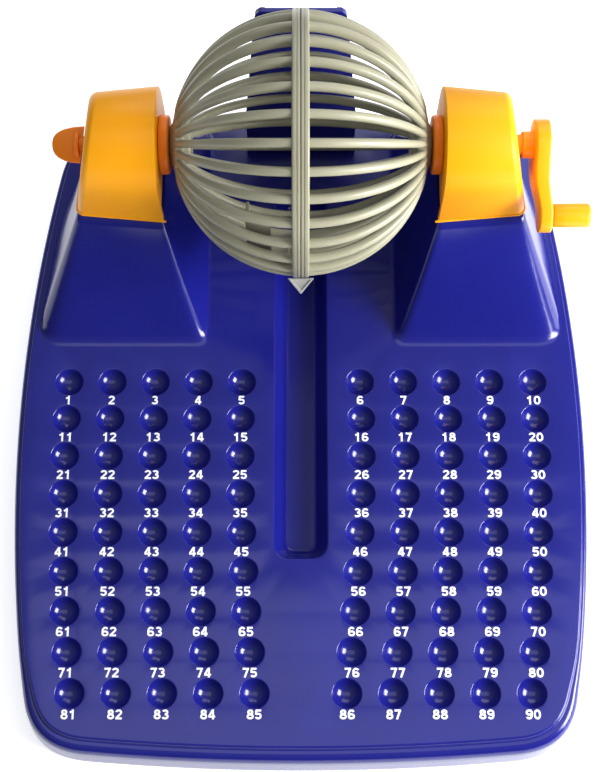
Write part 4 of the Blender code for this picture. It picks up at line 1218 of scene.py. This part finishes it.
def grip():
    bm = bmesh.new()
    turned(bm, [
        (GRIP_X0, GRIP_BORE_R), (GRIP_X0, GRIP_R - 0.9 * MM), (GRIP_X0 + 0.2 * MM, GRIP_R - 0.5 * MM),
        (GRIP_X0 + 0.8 * MM, GRIP_R - 0.2 * MM), (GRIP_X0 + 6.0 * MM, GRIP_R - 0.05 * MM),
        (GRIP_X1 - 1.8 * MM, GRIP_R), (GRIP_X1 - 0.9 * MM, GRIP_R - 0.15 * MM),
        (GRIP_X1 - 0.3 * MM, GRIP_R - 0.55 * MM), (GRIP_X1, GRIP_R - 1.1 * MM),
        (GRIP_X1 - 0.2 * MM, SCREW_WELL_R + 0.1 * MM), (GRIP_X1 - 3.4 * MM, SCREW_WELL_R),
        (GRIP_X1 - 3.4 * MM, GRIP_BORE_R),
    ], 56, END_Y, END_Z)
    return bm


new_piece("grip", grip(), CRANK_ORANGE, "grip", ["handle_grip"])


# ==== Axle pin ====
# The plain pin through the left hub, with a collar and a rounded tab to pull it out by.
PIN_ORANGE = plastic(
    "pin orange", (0.90, 0.22, 0.001), (0.97, 0.27, 0.001),
    0.40, drift_scale=60.0, ior=1.4,
)
PIN_R = 4.0 * MM
TAB_REACH = 12.1 * MM
TAB_HALF_H = 8.6 * MM
TAB_HALF_T = 2.5 * MM
TAB_EDGE = 1.0 * MM
ROOT_GAP = 0.8 * MM


def pin():
    bm = bmesh.new()
    turned(bm, [
        (SHAFT_IN_X, 0.0), (SHAFT_IN_X, PIN_R - 0.8 * MM), (SHAFT_IN_X + MM, PIN_R), (COLLAR_X0, PIN_R),
        (COLLAR_X0, COLLAR_R - 0.3 * MM), (COLLAR_X0 + 0.3 * MM, COLLAR_R),
        (COLLAR_X0 + 1.7 * MM, COLLAR_R), (COLLAR_X0 + 2.0 * MM, COLLAR_R - 0.3 * MM),
        (COLLAR_X0 + 2.0 * MM, 0.0),
    ], 48, AXIS_Y, AXIS_Z, -1.0)
    rings = []
    for i in range(25):
        turn = 0.5 * pi * i / 24.0
        reach = TAB_REACH * sin(turn)
        half_h = max(TAB_HALF_H * cos(turn) ** 0.7, 1.6 * MM)
        ring = []
        for sx, sy, flip in ((-1, -1, 0), (1, -1, 1), (1, 1, 0), (-1, 1, 1)):
            for k in range(4):
                a = 0.5 * pi * k / 3.0
                da, db = TAB_EDGE * (1 - cos(a)), TAB_EDGE * (1 - sin(a))
                if flip:
                    da, db = db, da
                spot = arm_point(0.0, sx * (half_h - da), sy * (TAB_HALF_T - db))
                root = hood_side_x(spot.y, spot.z) + ROOT_GAP
                spot.x = -max(root, root + (COLLAR_X0 + ROOT_GAP - root) * sin(turn)) - reach
                ring.append(spot)
        rings.append(ring)
    loft(bm, rings)
    return bm


new_piece("pull_pin", pin(), PIN_ORANGE, "pin", ["axle_pin"])


# ==== Floor, light and camera ====
# A white floor under soft studio light: the key lamp low on the right, a wide card overhead that
# greys the front of the deck, a broad lamp behind, and a sky that is dimmer near the horizon.
FLOOR_HALF = 3.0
FLOOR_GLOW = 0.62


def floor():
    bm = bmesh.new()
    signs = ((-1.0, -1.0), (1.0, -1.0), (1.0, 1.0), (-1.0, 1.0))
    corners = [bm.verts.new((FLOOR_HALF * x, FLOOR_HALF * y, 0.0)) for x, y in signs]
    bm.faces.new(corners)
    mesh = bpy.data.meshes.new("floor")
    bm.to_mesh(mesh)
    bm.free()
    ob = bpy.data.objects.new("floor", mesh)
    bpy.context.scene.collection.objects.link(ob)
    mat = bpy.data.materials.new("white floor")
    mat.use_nodes = True
    nodes = mat.node_tree.nodes
    links = mat.node_tree.links
    shader = nodes["Principled BSDF"]
    place = nodes.new("ShaderNodeTexCoord")
    mottle = nodes.new("ShaderNodeTexNoise")
    mottle.inputs["Scale"].default_value = 6.0
    links.new(place.outputs["Object"], mottle.inputs["Vector"])
    tone = nodes.new("ShaderNodeMix")
    tone.data_type = "RGBA"
    tone.inputs["A"].default_value = (0.93, 0.93, 0.93, 1.0)
    tone.inputs["B"].default_value = (0.97, 0.97, 0.97, 1.0)
    links.new(mottle.outputs["Fac"], tone.inputs["Factor"])
    links.new(tone.outputs["Result"], shader.inputs["Base Color"])
    links.new(tone.outputs["Result"], shader.inputs["Emission Color"])
    shader.inputs["Emission Strength"].default_value = FLOOR_GLOW
    shader.inputs["Roughness"].default_value = 0.8
    mesh.materials.append(mat)


def lamp(name, place, aim, size_x, size_y, power, colour=(1.0, 1.0, 1.0)):
    data = bpy.data.lights.new(name, "AREA")
    data.shape = "RECTANGLE"
    data.size = size_x
    data.size_y = size_y
    data.energy = power
    data.color = colour
    ob = bpy.data.objects.new(name, data)
    ob.location = place
    ob.rotation_euler = (Vector(aim) - Vector(place)).to_track_quat("-Z", "Y").to_euler()
    bpy.context.scene.collection.objects.link(ob)


floor()
lamp("key", (0.86, -0.27, 0.46), (0.0, -0.02, 0.05), 0.55, 0.50, 22.0, (1.0, 0.99, 0.97))
lamp("card", (0.35, -0.24, 1.30), (0.35, -0.24, 0.0), 1.70, 0.62, 3.4)
lamp("back", (0.25, 0.95, 0.80), (0.0, 0.08, 0.08), 1.20, 0.80, 6.0)
world = bpy.data.worlds.new("studio")
world.use_nodes = True
sky_nodes = world.node_tree.nodes
sky_links = world.node_tree.links
where = sky_nodes.new("ShaderNodeTexCoord")
split = sky_nodes.new("ShaderNodeSeparateXYZ")
sky_links.new(where.outputs["Generated"], split.inputs["Vector"])
climb = sky_nodes.new("ShaderNodeMapRange")
climb.inputs["From Min"].default_value = 0.15
climb.inputs["From Max"].default_value = 0.95
climb.inputs["To Min"].default_value = 0.10
climb.inputs["To Max"].default_value = 0.44
sky_links.new(split.outputs["Z"], climb.inputs["Value"])
sky_links.new(climb.outputs["Result"], sky_nodes["Background"].inputs["Strength"])
sky_nodes["Background"].inputs["Color"].default_value = (0.88, 0.92, 1.0, 1.0)
bpy.context.scene.world = world

camera_data = bpy.data.cameras.new("camera")
camera_data.lens = 64.32
camera_data.clip_start = 0.01
camera = bpy.data.objects.new("camera", camera_data)
camera.location = (0.00059, -0.25358, 0.68530)
camera.rotation_euler = (radians(22.089), 0.0, 0.0)
bpy.context.scene.collection.objects.link(camera)
bpy.context.scene.camera = camera
bpy.context.scene.view_settings.view_transform = "Standard"

bpy.context.view_layer.update()
